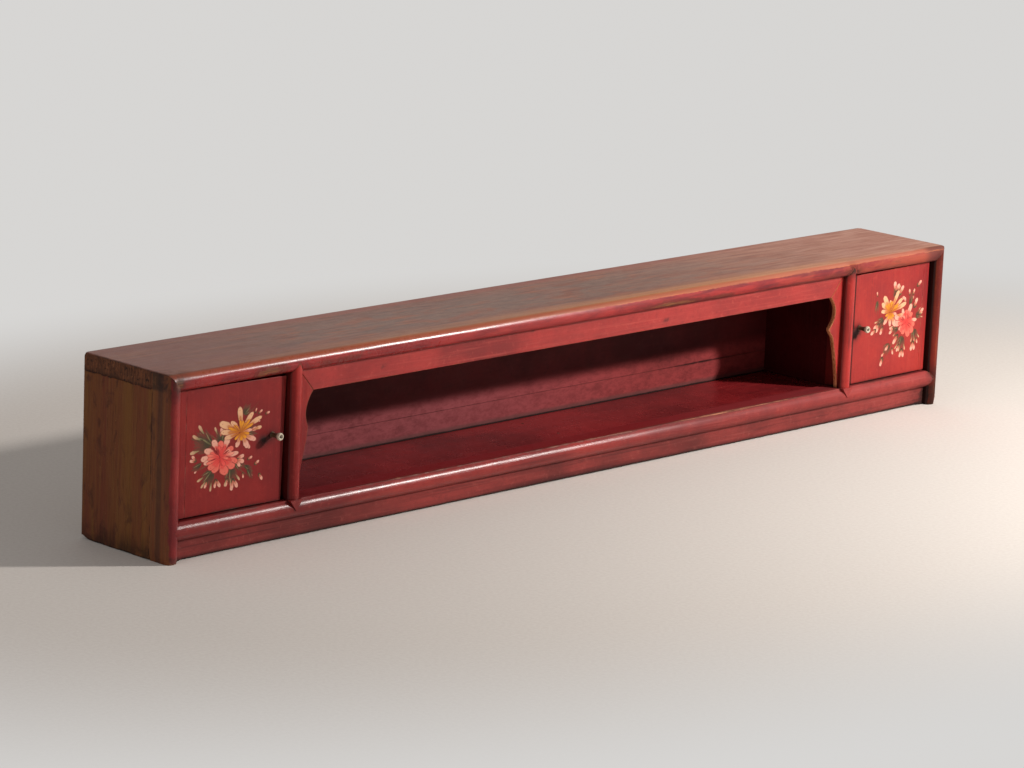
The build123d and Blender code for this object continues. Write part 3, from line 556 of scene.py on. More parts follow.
def lacquer_colour(g, grain, look):
    """Colour of old lacquer, with how far it's worn thin and worn through, its grime, and painted shade in
    its corners and seams.
    """
    broad = g.noise(5, 4, 0.6)
    streaks = g.noise(grain, 4, 0.6, seed=2)
    fine = g.noise(times(grain, 3.5), 3, 0.6, seed=5)
    blotch = g.noise(45, 6, 0.65, 0.4, seed=8)
    stains = g.noise(times(grain, 0.3), 5, 0.62, 0.9, seed=14)
    specks = g.noise(900, 2, 0.5, seed=11)
    mottle = g.noise(110, 5, 0.72, 0.6, seed=33)
    edge = g.field("arris")
    wear = blotch * 0.55 + streaks * 0.30 + g.field("rubbed") * 0.42 + g.smooth(edge, 3.5 * MM, 0) * 0.22
    wear += look["rub"]
    thin = g.smooth(wear, 0.60, 0.72)
    through = g.smooth(wear, 0.74, 0.86)
    edge_line = g.smooth(edge, 1.3 * MM, 0.2 * MM) * g.smooth(blotch, 0.42, 0.62)
    colour = g.coats(
        g.mix(g.smooth(broad, 0.34, 0.66), look["deep"], look["paint"]),
        (streaks, 0.5, 0.72, look["streaky"], look["light"]),
        (fine, 0.50, 0.30, 0.3, look["deep"]),
        (stains, 0.53, 0.66, look["stained"], "#4E1C1C"),
        (specks, 0.64, 0.72, 0.6, "#3C1412"),
        (mottle, 0.53, 0.66, 0.45, look["deep"]),
        (mottle, 0.44, 0.34, 0.315, look["light"]),
        (thin * 0.7, look["wood"]),
        (through, g.mix(g.smooth(fine, 0.35, 0.65), look["wood"], look["bare"])),
        (edge_line * look["pale_edge"], look["bare"]),
    )
    if "tint" in look:
        colour = look["tint"](g, colour)
    # Painted shade from ambient occlusion in corners and seams, together with real grime from the patches.
    dirty = g.smooth(g.crevice(4 * MM), 0.30, 0.85) * look["dirt"] + g.grime_and_shadow_patches(blotch)
    # A look's own painted shade on its flanks, recesses and corners.
    if "recess" in look:
        dirty += look["recess"](g)
    dirty = g.least(dirty, MOST_GRIME_AND_SHADE)
    relief = streaks * 0.5 + fine * 0.35 + blotch * 0.3 - through * 0.35 + specks * 0.25
    return g.mix(dirty, colour, GRIME_AND_SHADE), blotch, thin, through, dirty, relief


def beside(inner, outer, strength):
    """Painted shade on the surfaces whose distance from the cabinet's middle nears the outer value."""
    return lambda g: g.smooth(abs(g.axis("X")), inner, outer) * strength


def stile_flank_shade(g):
    """Painted shade on both flanks of the stiles, partly dirt."""
    return g.smooth(abs(abs(g.axis("X")) - STILE_CENTRE), 9 * MM, 11.5 * MM) * 0.65


def floor_corner(g):
    """Painted shade in the corner between the shelf's floor and its back, with a ragged edge."""
    wander = g.noise(12, 4, 0.6, 0.5, seed=17)
    height = g.axis("Z") - wander * (4 * MM) + 2 * MM
    low = g.smooth(height, SHELF_TOP + 3 * MM, SHELF_TOP + 0.8 * MM)
    return low * g.smooth(g.axis("Y"), BACK_FACE - 5 * MM, BACK_FACE - 1.5 * MM) * 0.9


def floor_line(g):
    """Painted shade along the floor, darker towards the bottom."""
    return g.smooth(g.axis("Z"), 10 * MM, 2.5 * MM) * 0.65


def shelf_side(g, colour):
    """Behind its rounded front the rail is as dark as the shelf."""
    return g.mix(g.smooth(g.depth(), 11 * MM, 15 * MM), colour, "#7C1B1F")


def dust_and_lit_band(g, colour):
    """Thin dust on the lower part of the shelf's back, greyer to the left, with a grey line in the corner.
    Below the shadow line it is also painted light, and the darker paint above it is painted shade.
    """
    cloud = g.noise((16, 16, 34), 6, 0.7, seed=21)
    grains = g.noise((60, 90, 120), 6, 0.75, 0.3, seed=24)
    low = g.smooth(g.axis("Z"), SHADOW_LINE_ON_BACK + 14 * MM, SHADOW_LINE_ON_BACK - 12 * MM)
    cover = g.smooth(cloud, 0.25, 0.65) * 0.30 + g.smooth(grains, 0.36, 0.60) * 0.40 + 0.35
    # The band's colour is partly dust and partly painted light.
    dust = g.mix(g.smooth(g.axis("X"), 0.40, -0.20), "#8C3434", "#843E42")
    corner = g.smooth(g.axis("Z") - SHELF_TOP - cloud * (5 * MM), 8 * MM, 1 * MM)
    return g.coats(colour, (low * g.least(cover, 1.0), dust), (corner * 0.7, "#523432"))


def worn_dull(g):
    """Extra roughness towards the right, where the front is worn."""
    return g.smooth(g.axis("X"), 0.0, 0.35) * 0.36


def lacquer(name, colours, grain, gloss, coat, specular, relief=0.35 * MM, matt=None, **look):
    """Old lacquer that wood shows through along the edges and where hands have rubbed it."""
    g = Graph(name)
    look = {**USUAL_LOOK, **palette(colours), **look}
    colour, blotch, thin, through, dirty, height = lacquer_colour(g, grain, look)
    roughness = g.span(blotch, -0.10, 0.16) + thin * 0.16 + through * 0.10 + dirty * 0.2 + gloss
    if matt:
        roughness += matt(g)
    return g.finish(colour, roughness, height, relief, coat, specular)


def stained_colour(g):
    """Brown stain in upright streaks, reddish and olive, with darker blotches, and its relief."""
    bands = g.noise((30, 30, 1.6), 4, 0.6, 0.6)
    streaks = g.noise((200, 200, 7), 5, 0.65, 0.4, seed=22)
    fine = g.noise((700, 700, 24), 4, 0.7, seed=25)
    blotch = g.noise((40, 40, 22), 5, 0.65, 0.5, seed=27)
    specks = g.noise((500, 500, 300), 2, 0.5, seed=31)
    colour = g.coats(
        g.mix(g.smooth(bands, 0.36, 0.64), "#703620", "#784A20"),
        (streaks, 0.45, 0.68, 0.5, "#7E5028"),
        (fine, 0.50, 0.30, 0.6, "#34180E"),
        (blotch, 0.54, 0.66, 0.6, "#401C14"),
        (specks, 0.68, 0.76, 0.5, "#9A7048"),
    )
    return colour, streaks * 0.8 + fine * 0.6 + blotch * 0.3


def post_finish(name, colours, specular):
    """Posts: lacquered in front and stained brown on the outer side, with a worn line between them."""
    g = Graph(name)
    # Painted shade on the post's inner flank, which faces away from the key lamp.
    flank_dirt = beside(POST_SIDE + 3.4 * MM, POST_SIDE + 1.4 * MM, 0.9)
    look = {**USUAL_LOOK, **palette(colours), "recess": flank_dirt}
    red, blotch, thin, _, dirty, relief = lacquer_colour(g, ALONG_Z, look)
    brown, brown_relief = stained_colour(g)
    depth = g.depth()
    outside = g.smooth(abs(g.axis("X")), END - 9 * MM, END - 7 * MM)
    flank = outside * g.smooth(depth + (blotch - 0.5) * (9 * MM), 3.2 * MM, 5.5 * MM)
    purple = g.smooth(depth, 17 * MM, 22 * MM) * g.smooth(depth, 34 * MM, 28 * MM)
    under_top = g.smooth(g.axis("Z"), TOP_BASE - 3 * MM, TOP_BASE + 3 * MM) * g.smooth(blotch, 0.35, 0.55)
    brown = g.coats(brown, (purple * g.span(blotch, 0.2, 0.9), "#3A1C1A"), (under_top * 0.75, "#26150F"))
    height = relief + flank * brown_relief * 0.6
    roughness = g.span(blotch, -0.10, 0.16) + thin * 0.16 + dirty * 0.2 + flank * 0.14 + 0.32
    return g.finish(g.mix(flank, red, brown), roughness, height, 0.4 * MM, 0.02, specular)


def top_wood(g, streaks, wide_streaks, fine, patches, blotch):
    """Brown wood, rubbed grey in the middle, orange along the front, and pale to the right with a painted
    sheen of reflected light.
    """
    along, depth = g.axis("X"), g.depth()
    specks = g.noise((300, 700, 700), 2, 0.5, seed=11)
    centre = g.smooth(depth, 0.03, 0.07) * g.smooth(depth, 0.185, 0.13)
    middle = g.smooth(along, -0.75, -0.35) * g.smooth(along, 0.75, 0.35)
    grey = (centre * 0.5 + middle * 0.4 + 0.1) * g.smooth(patches, 0.36, 0.56)
    front_rub = g.smooth(wide_streaks - depth * 24, -0.60, 0.10)
    red_left = g.smooth(along, -0.40, -0.85) * 0.34 + patches * 0.9
    red_back = g.smooth(depth, 0.155, 0.198) * 0.58 + patches * 0.7
    red_right = g.smooth(along, 0.35, 0.85) * 0.36 + patches * 0.9
    reds = g.most(g.most(red_left, red_back), red_right)
    return g.coats(
        g.mix(g.smooth(streaks, 0.32, 0.68), "#6E3422", "#A05C3A"),
        (wide_streaks, 0.48, 0.62, 0.6, "#98543A"),
        (grey * 0.85, g.mix(g.smooth(fine, 0.3, 0.7), "#5C4036", "#8E6C5A")),
        (front_rub * g.span(g.smooth(along, -0.5, 0.6), 0.25, 0.9), "#C07C48"),
        (reds, 0.62, 0.90, 0.75, g.mix(streaks, "#783022", "#A85A42")),
        (specks, 0.62, 0.72, 0.6, "#2E1C16"),
        (fine, 0.46, 0.28, 0.45, "#4A2C20"),
        # Painted sheen: paler towards the right, standing in for light reflected by the top.
        (
            g.smooth(along, 0.05, 0.85) * g.span(patches, 0.45, 0.95),
            g.mix(g.smooth(streaks, 0.35, 0.65), "#AA7260", "#CC9E8C"),
        ),
        (along, -0.45, -0.80, g.span(patches, 0.2, 0.7), "#6A3422"),
        (g.smooth(g.field("arris"), 5 * MM, 0.0) * g.smooth(blotch, 0.40, 0.60), "#3E241C"),
        (g.smooth(depth, 11 * MM, 6 * MM) * 0.75, "#9A4A36"),
    )


def top_paint(g, streaks, fine, patches, thin, through):
    """What is left of the red lacquer on the top's rounded front."""
    along = g.axis("X")
    stains = g.noise((10, 90, 90), 5, 0.65, 0.8, seed=15)
    return g.coats(
        g.mix(g.smooth(patches, 0.35, 0.65), "#7A1C20", "#A02A28"),
        (streaks, 0.5, 0.7, 0.35, "#B0443C"),
        (stains, 0.50, 0.62, g.span(g.smooth(along, 0.0, 0.4), 0.22, 0.7), "#5A1620"),
        (along, 0.35, 0.7, g.smooth(patches, 0.35, 0.6) * 0.6, "#8E482E"),
        (thin * 0.7, "#66241C"),
        (through, g.mix(g.smooth(fine, 0.35, 0.65), "#5A3626", "#9A5A34")),
    )


def top_finish():
    """The top: bare wood above, with red lacquer on its rounded front, shiny to the left."""
    g = Graph("top_lacquer")
    streaks = g.noise((9, 130, 130), 6, 0.66, 0.5)
    wide_streaks = g.noise((3, 38, 38), 5, 0.62, 0.8, seed=4)
    fine = g.noise((40, 700, 700), 4, 0.65, seed=5)
    patches = g.noise((9, 26, 26), 6, 0.66, 1.1, seed=9)
    blotch = g.noise(60, 6, 0.65, 0.5, seed=8)
    along, depth = g.axis("X"), g.depth()
    wear = blotch * 0.55 + streaks * 0.3 + g.field("rubbed") * 0.45
    thin, through = g.smooth(wear, 0.56, 0.70), g.smooth(wear, 0.74, 0.90)
    below = g.math("SUBTRACT", HEIGHT - PAINT_LIMIT, g.axis("Z"))
    lacquered = g.smooth(below * 150 + blotch * 0.8 + wide_streaks * 0.5, 0.42, 0.88)
    worn_line = g.smooth(lacquered, 0.05, 0.5) * g.smooth(lacquered, 0.98, 0.5)
    worn_line *= g.span(g.smooth(along, -0.3, 0.2), 0.15, 0.9)
    # Painted shade from ambient occlusion in corners and seams, with real grime from the patches.
    dirty = g.least(g.smooth(g.crevice(5 * MM), 0.3, 0.9) * 0.7 + g.grime_and_shadow_patches(blotch), MOST_GRIME_AND_SHADE)
    colour = g.coats(
        top_wood(g, streaks, wide_streaks, fine, patches, blotch),
        (lacquered, top_paint(g, streaks, fine, patches, thin, through)),
        (along, 0.835, 0.862, g.smooth(depth, 14 * MM, 9 * MM) * 0.7, "#4A201C"),
        (worn_line * g.smooth(streaks, 0.35, 0.6), "#BC6A42"),
        (dirty, GRIME_AND_SHADE),
    )
    nose = g.smooth(depth, 11 * MM, 6 * MM)
    shine = nose * g.smooth(along, 0.05, -0.40)
    dull = nose * g.smooth(along, -0.15, 0.25)
    roughness = blotch * 0.16 - shine * 0.24 + dull * 0.24 + dirty * 0.35 + through * 0.1 + 0.43
    height = (streaks * 0.7 + fine * 0.5 + blotch * 0.4 - through * 0.3) * g.span(shine, 1.0, 0.4)
    return g.finish(colour, roughness, height, 0.5 * MM, 0.03, 0.34)


def end_grain():
    """The sawn end of the top plank: rough brown wood with dark, open pores, and a painted shade along its
    lower edge.
    """
    g = Graph("end_grain")
    marks = g.noise((100, 420, 60), 5, 0.7, 0.6)
    pits = g.noise((160, 190, 190), 5, 0.7, 0.6, seed=6)
    blotch = g.noise(38, 5, 0.7, 0.8, seed=3)
    colour = g.coats(
        g.mix(g.smooth(marks, 0.35, 0.65), "#46281A", "#7E4A2E"),
        (g.smooth(blotch, 0.48, 0.64), "#54301E"),
        (blotch, 0.42, 0.32, 0.7, "#A06C4A"),
        (pits, 0.54, 0.64, 0.85, "#160C08"),
        # Painted shade along the lower edge, where the plank overhangs the end panel.
        (g.smooth(g.axis("Z"), TOP_BASE + 6 * MM, TOP_BASE) * 0.4, "#160C08"),
    )
    height = marks * 0.7 + blotch * 0.8 - pits * 1.2
    return g.finish(colour, g.span(marks, 0.6, 0.85), height, 1.2 * MM, specular=0.25)


def end_finish():
    """The end panels, with grime along the floor, worn arrises and painted shade in their corners and seams.
    """
    g = Graph("end_lacquer")
    colour, height = stained_colour(g)
    blotch = g.noise((40, 40, 30), 5, 0.65, 0.5, seed=7)
    edge = g.smooth(g.field("arris"), 3 * MM, 0.3 * MM) * g.smooth(blotch, 0.45, 0.55)
    low = g.smooth(g.axis("Z"), 40 * MM, 2 * MM) * g.smooth(blotch, 0.30, 0.60)
    # Painted shade from ambient occlusion in corners and seams, with grime along the floor and from the
    # patches.
    dirty = g.smooth(g.crevice(7 * MM), 0.25, 0.8) * 0.8 + low * 0.7 + g.field("grime_and_shadow") * 0.6
    dirty = g.least(dirty, 0.9)
    colour = g.coats(colour, (edge, "#2E160E"), (dirty, "#140B08"))
    return g.finish(colour, blotch * 0.2 + dirty * 0.15 + 0.46, height, 0.5 * MM, specular=0.25)


def bare_wood(name, grain):
    """Aged wood that was never painted, with a coarse sawn face."""
    g = Graph(name)
    rings = g.noise(times(grain, 0.35), 4, 0.6, 1.2)
    streaks = g.noise(grain, 4, 0.6, 0.3, seed=2)
    fine = g.noise(times(grain, 3), 3, 0.7, seed=4)
    blotch = g.noise(30, 5, 0.6, 0.4, seed=6)
    colour = g.coats(
        g.mix(g.smooth(rings, 0.35, 0.65), "#6E4C30", "#9A7048"),
        (streaks, 0.5, 0.7, 0.6, "#B48A5C"),
        (blotch, 0.5, 0.7, 0.6, "#503522"),
        # Painted shade from ambient occlusion in corners and seams.
        (g.smooth(g.crevice(8 * MM), 0.2, 0.8), "#2A1A10"),
    )
    height = streaks * 0.8 + fine * 0.9 + rings * 0.4
    return g.finish(colour, g.span(blotch, 0.62, 0.85), height, 0.7 * MM, specular=0.3)


def knob_finish():
    """Turned wood, worn pale on the face and dark in the neck."""
    g = Graph("knob_wood")
    turning = g.noise((300, 60, 300), 4, 0.6)
    pores = g.noise((1500, 300, 1500), 3, 0.7, seed=2)
    face = g.smooth(g.depth(), 1.5 * MM, -4.5 * MM)
    colour = g.coats(
        g.mix(g.smooth(turning, 0.3, 0.7), "#3A2A1C", "#5E4830"),
        (face * g.span(g.smooth(pores, 0.35, 0.6), 0.55, 1.0), "#DCCDB6"),
        (pores, 0.58, 0.66, 0.7, "#3A2718"),
        # Painted shade from ambient occlusion in the knob's hollows.
        (g.smooth(g.crevice(2.5 * MM), 0.35, 0.8), "#1E130D"),
    )
    height = turning * 0.6 + pores * 0.6
    return g.finish(colour, g.span(turning, 0.38, 0.6), height, 0.2 * MM, 0.1, coat_roughness=0.3)


def iron_finish():
    """Dark hand-worked iron with some rust."""
    g = Graph("iron")
    hammered = g.cells(500)
    rust = g.noise(260, 5, 0.7, 0.5)
    rusty = g.smooth(rust, 0.45, 0.62)
    colour = g.coats(g.mix(rusty, "#3A3430", "#6A3A22"), (g.smooth(hammered, 0.5, 0.8), "#5A524C"))
    g.feed(g.shader.inputs["Metallic"], g.span(rusty, 0.85, 0.1))
    return g.finish(colour, g.span(rust, 0.4, 0.8), hammered * 0.8 + rust * 0.6, 0.3 * MM)


def pin_finish():
    """The handled head of a knob's pin: rubbed bright."""
    g = Graph("worn_pin")
    scratches = g.noise(900, 4, 0.7)
    g.feed(g.shader.inputs["Metallic"], g.span(scratches, 0.5, 0.9))
    colour = g.mix(g.smooth(scratches, 0.4, 0.6), "#2E2620", "#74665A")
    return g.finish(colour, g.span(scratches, 0.25, 0.5), scratches, 0.1 * MM)


def brush_paint():
    """Thin paint of the flowers, laid on in strokes from a root colour to a tip colour."""
    g = Graph("brush_paint")
    hairs = g.noise(700, 3, 0.6, 0.5)
    patchy = g.noise(240, 5, 0.7, 0.5, seed=3)
    root, tip, ground = [g.field(name, "Color") for name in ("root", "tip", "ground")]
    share = g.field("along") + (hairs - 0.5) * 0.5
    outline = g.field("outline") + (patchy - 0.5) * 0.5
    colour = g.coats(
        g.mix(g.smooth(share, 0.20, 0.80), root, tip),
        (hairs, 0.56, 0.70, 0.35, root),
        (g.smooth(outline, 0.70, 1.0), ground),
        (patchy, 0.60, 0.72, 0.6, ground),
    )
    height = hairs * 0.8 + patchy * 0.5
    return g.finish(colour, g.span(patchy, 0.45, 0.65), height, 0.15 * MM, specular=0.25)


RED = "#AA2D28 #7A1A1A #BE4E44 #582C20 #AE6C40"
RAIL = lacquer(
    "rail_lacquer", "#962F2A #6E1E1E #A64C44 #602E26 #B8785A", ALONG_X, 0.29, 0.12, 0.3,
    relief=0.6 * MM, matt=worn_dull, tint=shelf_side,
)
APRON = lacquer(
    "apron_lacquer", "#A62D29 #7A1A1A #BE4E44 #582C20 #AE6C40", ALONG_X, 0.38, 0.08, 0.28,
    stained=0.15, streaky=0.35, rub=-0.08,
)
SKIRT = lacquer(
    "skirt_lacquer", "#8E3632 #5E2422 #9C5048 #4E261E #90604A", ALONG_X, 0.45, 0.0, 0.2,
    stained=0.7, rub=0.02, recess=floor_line,
)
STILE = lacquer(
    "stile_lacquer", RED, ALONG_Z, 0.32, 0.05, 0.2, stained=0.6, rub=0.03, pale_edge=0.1, recess=stile_flank_shade,
)
SPANDRELS = {
    name: lacquer(f"{name}_spandrel_lacquer", colours, ALONG_Z, 0.40, 0.0, 0.25, stained=0.3)
    for name, colours in (
        ("left", "#9C2620 #7A1A1A #BE4E44 #5A3020 #8A5638"),
        ("right", "#AA2D28 #7A1A1A #BE4E44 #A4562E #DC9468"),
    )
}
# The right door's palette is lighter than the left's, partly painted light standing in for the key lamp's
# stronger light on the right.
DOORS = {
    "left": lacquer(
        "left_door_lacquer", "#932622 #751B1C #9E342E #5A2620 #A87060", ALONG_Z, 0.40, 0.0, 0.2,
        rub=-0.10, stained=0.15, streaky=0.2,
    ),
    "right": lacquer(
        "right_door_lacquer", "#A02C26 #7E1F22 #AE4236 #6A2A24 #B06E58", ALONG_Z, 0.40, 0.0, 0.2,
        # A painted shade line along the right door's free edge, beside the stile.
        rub=-0.09, stained=0.22, streaky=0.25, recess=beside(0.6742, 0.6716, 0.85),
    ),
}
INSIDE_X = lacquer(
    "inner_lacquer_level", "#781216 #4E0A0E #84282A #421A18 #7A5044", ALONG_X, 0.40, 0.0, 0.15,
    rub=-0.03, dirt=0.5,
)
# This upright copy of the inner lacquer is darker than the level one: a painted shade on the dividers and
# inner end faces.
INSIDE_Z_SHADED = lacquer(
    "inner_lacquer_upright", "#4E1214 #360A0C #5C2422 #321816 #64443A", ALONG_Z, 0.45, 0.0, 0.15,
    rub=-0.03, dirt=0.5,
)
# The back's base colours are darkened as painted shade; below the shadow line the dust tint lightens them,
# partly as painted light.
BACKS = lacquer(
    "back_lacquer", "#5A1A1C #421013 #602220 #381816 #7C5044", (14, 110, 110), 0.6, 0.0, 0.15,
    rub=-0.05, dirt=0.15, stained=0.3, streaky=0.15, recess=floor_corner, tint=dust_and_lit_band,
)
SHELF = lacquer(
    "shelf_lacquer", "#8C2225 #60181B #9E3A38 #4A1E1C #7A5044", ALONG_X, 0.26, 0.0, 0.22,
    rub=-0.06, dirt=0.5, stained=0.2, recess=floor_corner,
)
POSTS = {
    "left": post_finish("left_post_lacquer", "#9A2E2B #621A1E #A64844 #4A2822 #94604A", 0.27),
    # The right post's palette is darker and browner than the left's, partly a painted shade of its flank,
    # which faces away from the key lamp.
    "right": post_finish("right_post_lacquer", "#741F14 #541610 #8A3E20 #4A2212 #A05C30", 0.14),
}
TOP = top_finish()
END_GRAIN = end_grain()
ENDS = end_finish()
BARE_X = bare_wood("bare_wood_level", ALONG_X)
BARE_Y = bare_wood("bare_wood_crosswise", ALONG_Y)
BARE_Z = bare_wood("bare_wood_upright", ALONG_Z)
KNOB = knob_finish()
IRON = iron_finish()
PIN = pin_finish()
BRUSH = brush_paint()


def paint_by_face(piece, choose):
    """Gives each face the material number that the choose function returns for its centre and normal."""
    for face in piece.data.polygons:
        face.material_index = int(choose(face.center, face.normal))


# ---- the frame
# How much of each member's end takes its joint's shape.
TOP_LEAD, POST_LEAD, RAIL_LEAD = 50 * MM, 30 * MM, 20 * MM
MITRE_STEP = 0.05 * MM
JOINT_DEPTH = NOSE + 0.05 * MM  # of the pointed shoulders
FOOT_WEAR = 14 * MM  # height of the worn foot of a post
SAW_MARKS = 1.1 * MM
FRAME_YS = (FRONT, FRAME_BACK)  # of the posts and stiles


def round_off(points, axis, corner, radius, way=1):
    """Rounds the edges that lie at a distance from the middle (in X) and at a place on another axis."""
    x, other = points[:, 0], points[:, axis]
    inner = np.array(corner) - radius
    away = np.stack([np.abs(x), way * other], axis=1) - inner
    outside = (away > 0).all(axis=1)
    moved = inner + rounded(away, radius)
    x[outside] = np.sign(x[outside]) * moved[outside, 0]
    other[outside] = way * moved[outside, 1]
    return points


def soften_ends(points):
    """Rounds the upper edge of both ends and the upright corners at the back."""
    points = round_off(points, 2, (END, HEIGHT), TOP_EASE)
    return round_off(points, 1, (END, REAR), BACK_EASE)


def worn_corners(points):
    """Wears the two upper corners at the back round."""
    core = np.array([END, REAR, HEIGHT]) - CORNER_WEAR
    away = points * (np.sign(points[:, :1]) ** (1, 0, 0)) - core
    share = away.min(axis=1) / CORNER_WEAR
    length = np.maximum(np.linalg.norm(away, axis=1), ON_FACE)
    pull = smooth_step(share, 0, 0.9) * np.maximum(1 - CORNER_WEAR / length, 0)
    moved = away * (1 - pull)[:, None] + core
    moved[:, 0] *= np.sign(points[:, 0])
    return np.where((share > 0)[:, None], moved, points)


def mitred_top(points):
    """Squeezes the front of both ends inward to their mitres with the posts."""
    x, y, z = points.T
    start = END - TOP_LEAD
    level = (np.clip(z, TOP_BASE, HEIGHT) - TOP_BASE) / (HEIGHT - TOP_BASE)
    reach = start + (np.abs(x) - start) / TOP_LEAD * (POST_SIDE + (END - POST_SIDE) * level - start)
    squeezed = (y < FRAME_BACK) & (np.abs(x) > start)
    x[squeezed] = (np.sign(x) * reach)[squeezed]
    return points


def make_top():
    """The top plank, with its rounded front, its mitres and its rough sawn ends."""
    middle, half = (TOP_BASE + HEIGHT) / 2, (HEIGHT - TOP_BASE) / 2
    xs = grid_lines(-END, END, FINE_CELL, (1 * MM, 2 * MM, 3 * MM, 6 * MM))
    front_ys = grid_lines(FRONT + NOSE, FRAME_BACK - MITRE_STEP, CELL, ())
    rear_ys = grid_lines(FRAME_BACK + MITRE_STEP, REAR, CELL / 1.5, (0.5 * MM, 1.5 * MM, 3 * MM, 6 * MM))
    points, faces = lattice(xs, np.concatenate([[FRONT], front_ys, rear_ys]), nose_lines(middle, half))
    fields = {"arris": arris_distance(points, TOP_LOW, TOP_HIGH, 0)}
    x, y, z = points.T
    front, sawn = y < FRONT + ON_FACE, np.abs(x) > END - ON_FACE
    crest = nose_crest(front, z - middle, half)
    y += np.where(front, nose_depth(z - middle, half), 0)
    points = roughened(points, faces, 0.35 * MM, (4, 30, 60), 3)
    x, y, z = points.T
    y += 0.7 * MM * unit_noise(points, (8, 8, 8), 41, 2) * crest
    marks = np.where(sawn & (y > FRAME_BACK), unit_noise(points, (40, 330, 60), 43), 0)
    x -= np.sign(x) * SAW_MARKS * marks
    points = soften_ends(mitred_top(points))
    x, y, z = points.T
    z -= 1.6 * MM * smooth_step(y, REAR - 3 * MM, REAR) * smooth_step(z, HEIGHT - 4 * MM, HEIGHT)
    piece = build("top_plank_wood", worn_corners(points), faces, fields)
    cut_for_stiles(piece, TOP_BASE, 1)
    place(piece, "carcass", "top_lacquer", ["top_plank"], TOP, END_GRAIN, INSIDE_X)

    def choose(centre, normal):
        if abs(normal.x) > 0.7 and centre.y > FRAME_BACK:
            return 1
        return 2 if normal.z < -0.7 and centre.y > FRONT + NOSE else 0

    paint_by_face(piece, choose)


def make_post(name, side):
    """A front post, rounded in front, mitred at the head and worn round at the foot."""

    def ends(points):
        x, y, z = points.T
        limit = TOP_BASE + (HEIGHT - TOP_BASE) * (np.abs(x) - POST_SIDE) / (END - POST_SIDE)
        z -= np.clip((z - HEIGHT) / POST_LEAD + 1, 0, 1) * (HEIGHT - np.clip(limit, TOP_BASE, HEIGHT))
        foot = smooth_step(z, FOOT_WEAR, 0)
        y += foot * 2.2 * MM * smooth_step(y, FRONT + NOSE, FRONT)
        x -= side * foot * 1.6 * MM * smooth_step(np.abs(x), END - 5 * MM, END)
        return soften_ends(points)

    block = side_block(side, (POST_SIDE, END), FRAME_YS, (0, HEIGHT))
    piece = nosed(f"{name}_front_post_wood", *block, 2, 11 + side, ends)
    places = (POST_SIDE - CUT_PAST, POST_SIDE, POST_SIDE + RAIL_POINT + CUT_SLACK)
    past, edge, tip = [side * place_in_x for place_in_x in places]
    upper, lower = RAIL_TOP + CUT_SLACK, RAIL_BASE - CUT_SLACK
    cut(piece, [(past, upper), (past, lower), (edge, lower), (tip, RAIL_MIDDLE), (edge, upper)])
    place(piece, "carcass", "front_lacquer", [f"{name}_front_post"], POSTS[name])


def make_stile(name, side):
    """A stile beside the shelf, rounded in front, with pointed shoulders."""

    def ends(points):
        x, y, z = points.T
        point = STILE_POINT * np.clip(1 - np.abs(np.abs(x) - STILE_CENTRE) / STILE_HALF, 0, 1)
        level = (z - RAIL_TOP) / (TOP_BASE - RAIL_TOP) - 0.5
        pull = smooth_step(np.abs(level), 0.42, 0.5) * np.sign(level)
        z += np.where(y < FRONT + JOINT_DEPTH, pull * point, 0)
        return points

    block = side_block(side, (STILE_INNER, STILE_OUTER), FRAME_YS, (RAIL_TOP, TOP_BASE))
    piece = nosed(f"{name}_stile_wood", *block, 2, 21 + side, ends)
    place(piece, "carcass", "front_lacquer", [f"{name}_stile"], STILE)


def make_rail():
    """The bottom rail, rounded in front, with pointed ends and notches for the stiles."""

    def ends(points):
        x, y, z = points.T
        point = RAIL_POINT * np.clip(1 - np.abs(z - RAIL_MIDDLE) / (RAIL_TOP - RAIL_MIDDLE), 0, 1)
        share = np.clip((np.abs(x) - POST_SIDE) / RAIL_LEAD + 1, 0, 1)
        x += np.where(y < FRONT + JOINT_DEPTH, np.sign(x) * share * point, 0)
        return points

    low, high = (-POST_SIDE, FRONT, RAIL_BASE), (POST_SIDE, FRAME_BACK, RAIL_TOP)
    piece = nosed("bottom_rail_wood", low, high, 0, 31, ends)
    cut_for_stiles(piece, RAIL_TOP, -1)
    place(piece, "carcass", "front_lacquer", ["bottom_rail"], RAIL)


# ---- boards
GRAIN_X, GRAIN_Y, GRAIN_Z = (5, 60, 60), (60, 6, 60), (60, 60, 5)  # roughness of the sawn boards
PANEL_INSET = 0.7 * MM
CORNER_LOSS = 6 * MM  # of the end panels' lower corner at the back
APRON_LEAD, APRON_MITRE = 60 * MM, 30 * MM
EAR, LIFT = 10 * MM, 3 * MM  # length of the skirt's ears on the floor, and its height between them


def make_end_panel(name, side):
    """An end panel, nibbled along the floor, worst at the back corner."""

    def shape(points):
        x, y, z = points.T
        x -= side * PANEL_INSET * smooth_step(np.abs(x), PANEL_SIDE + 4 * MM, END)
        nibble = unit_noise(points, (60, 34, 1), 51 + side, 4)
        chip = smooth_step(nibble, 0.45, 0.85) * 1.3 * MM + nibble * 0.5 * MM
        chip += CORNER_LOSS * smooth_step(y, REAR - 18 * MM, REAR - 2 * MM) * (0.6 + 0.4 * nibble)
        z += chip * smooth_step(z, 30 * MM, 0)
        return soften_ends(points)

    block = side_block(side, (PANEL_SIDE, END), (FRAME_BACK, REAR), (0, TOP_BASE))
    sawing = {"grain": GRAIN_Z, "cell": 5 * MM, "depth": 0.4 * MM, "shape": shape}
    piece = board(f"{name}_end_panel", block, 52 + side, "end_lacquer", ENDS, INSIDE_Z_SHADED, **sawing)
    paint_by_face(piece, lambda centre, normal: normal.x * side < -0.5)


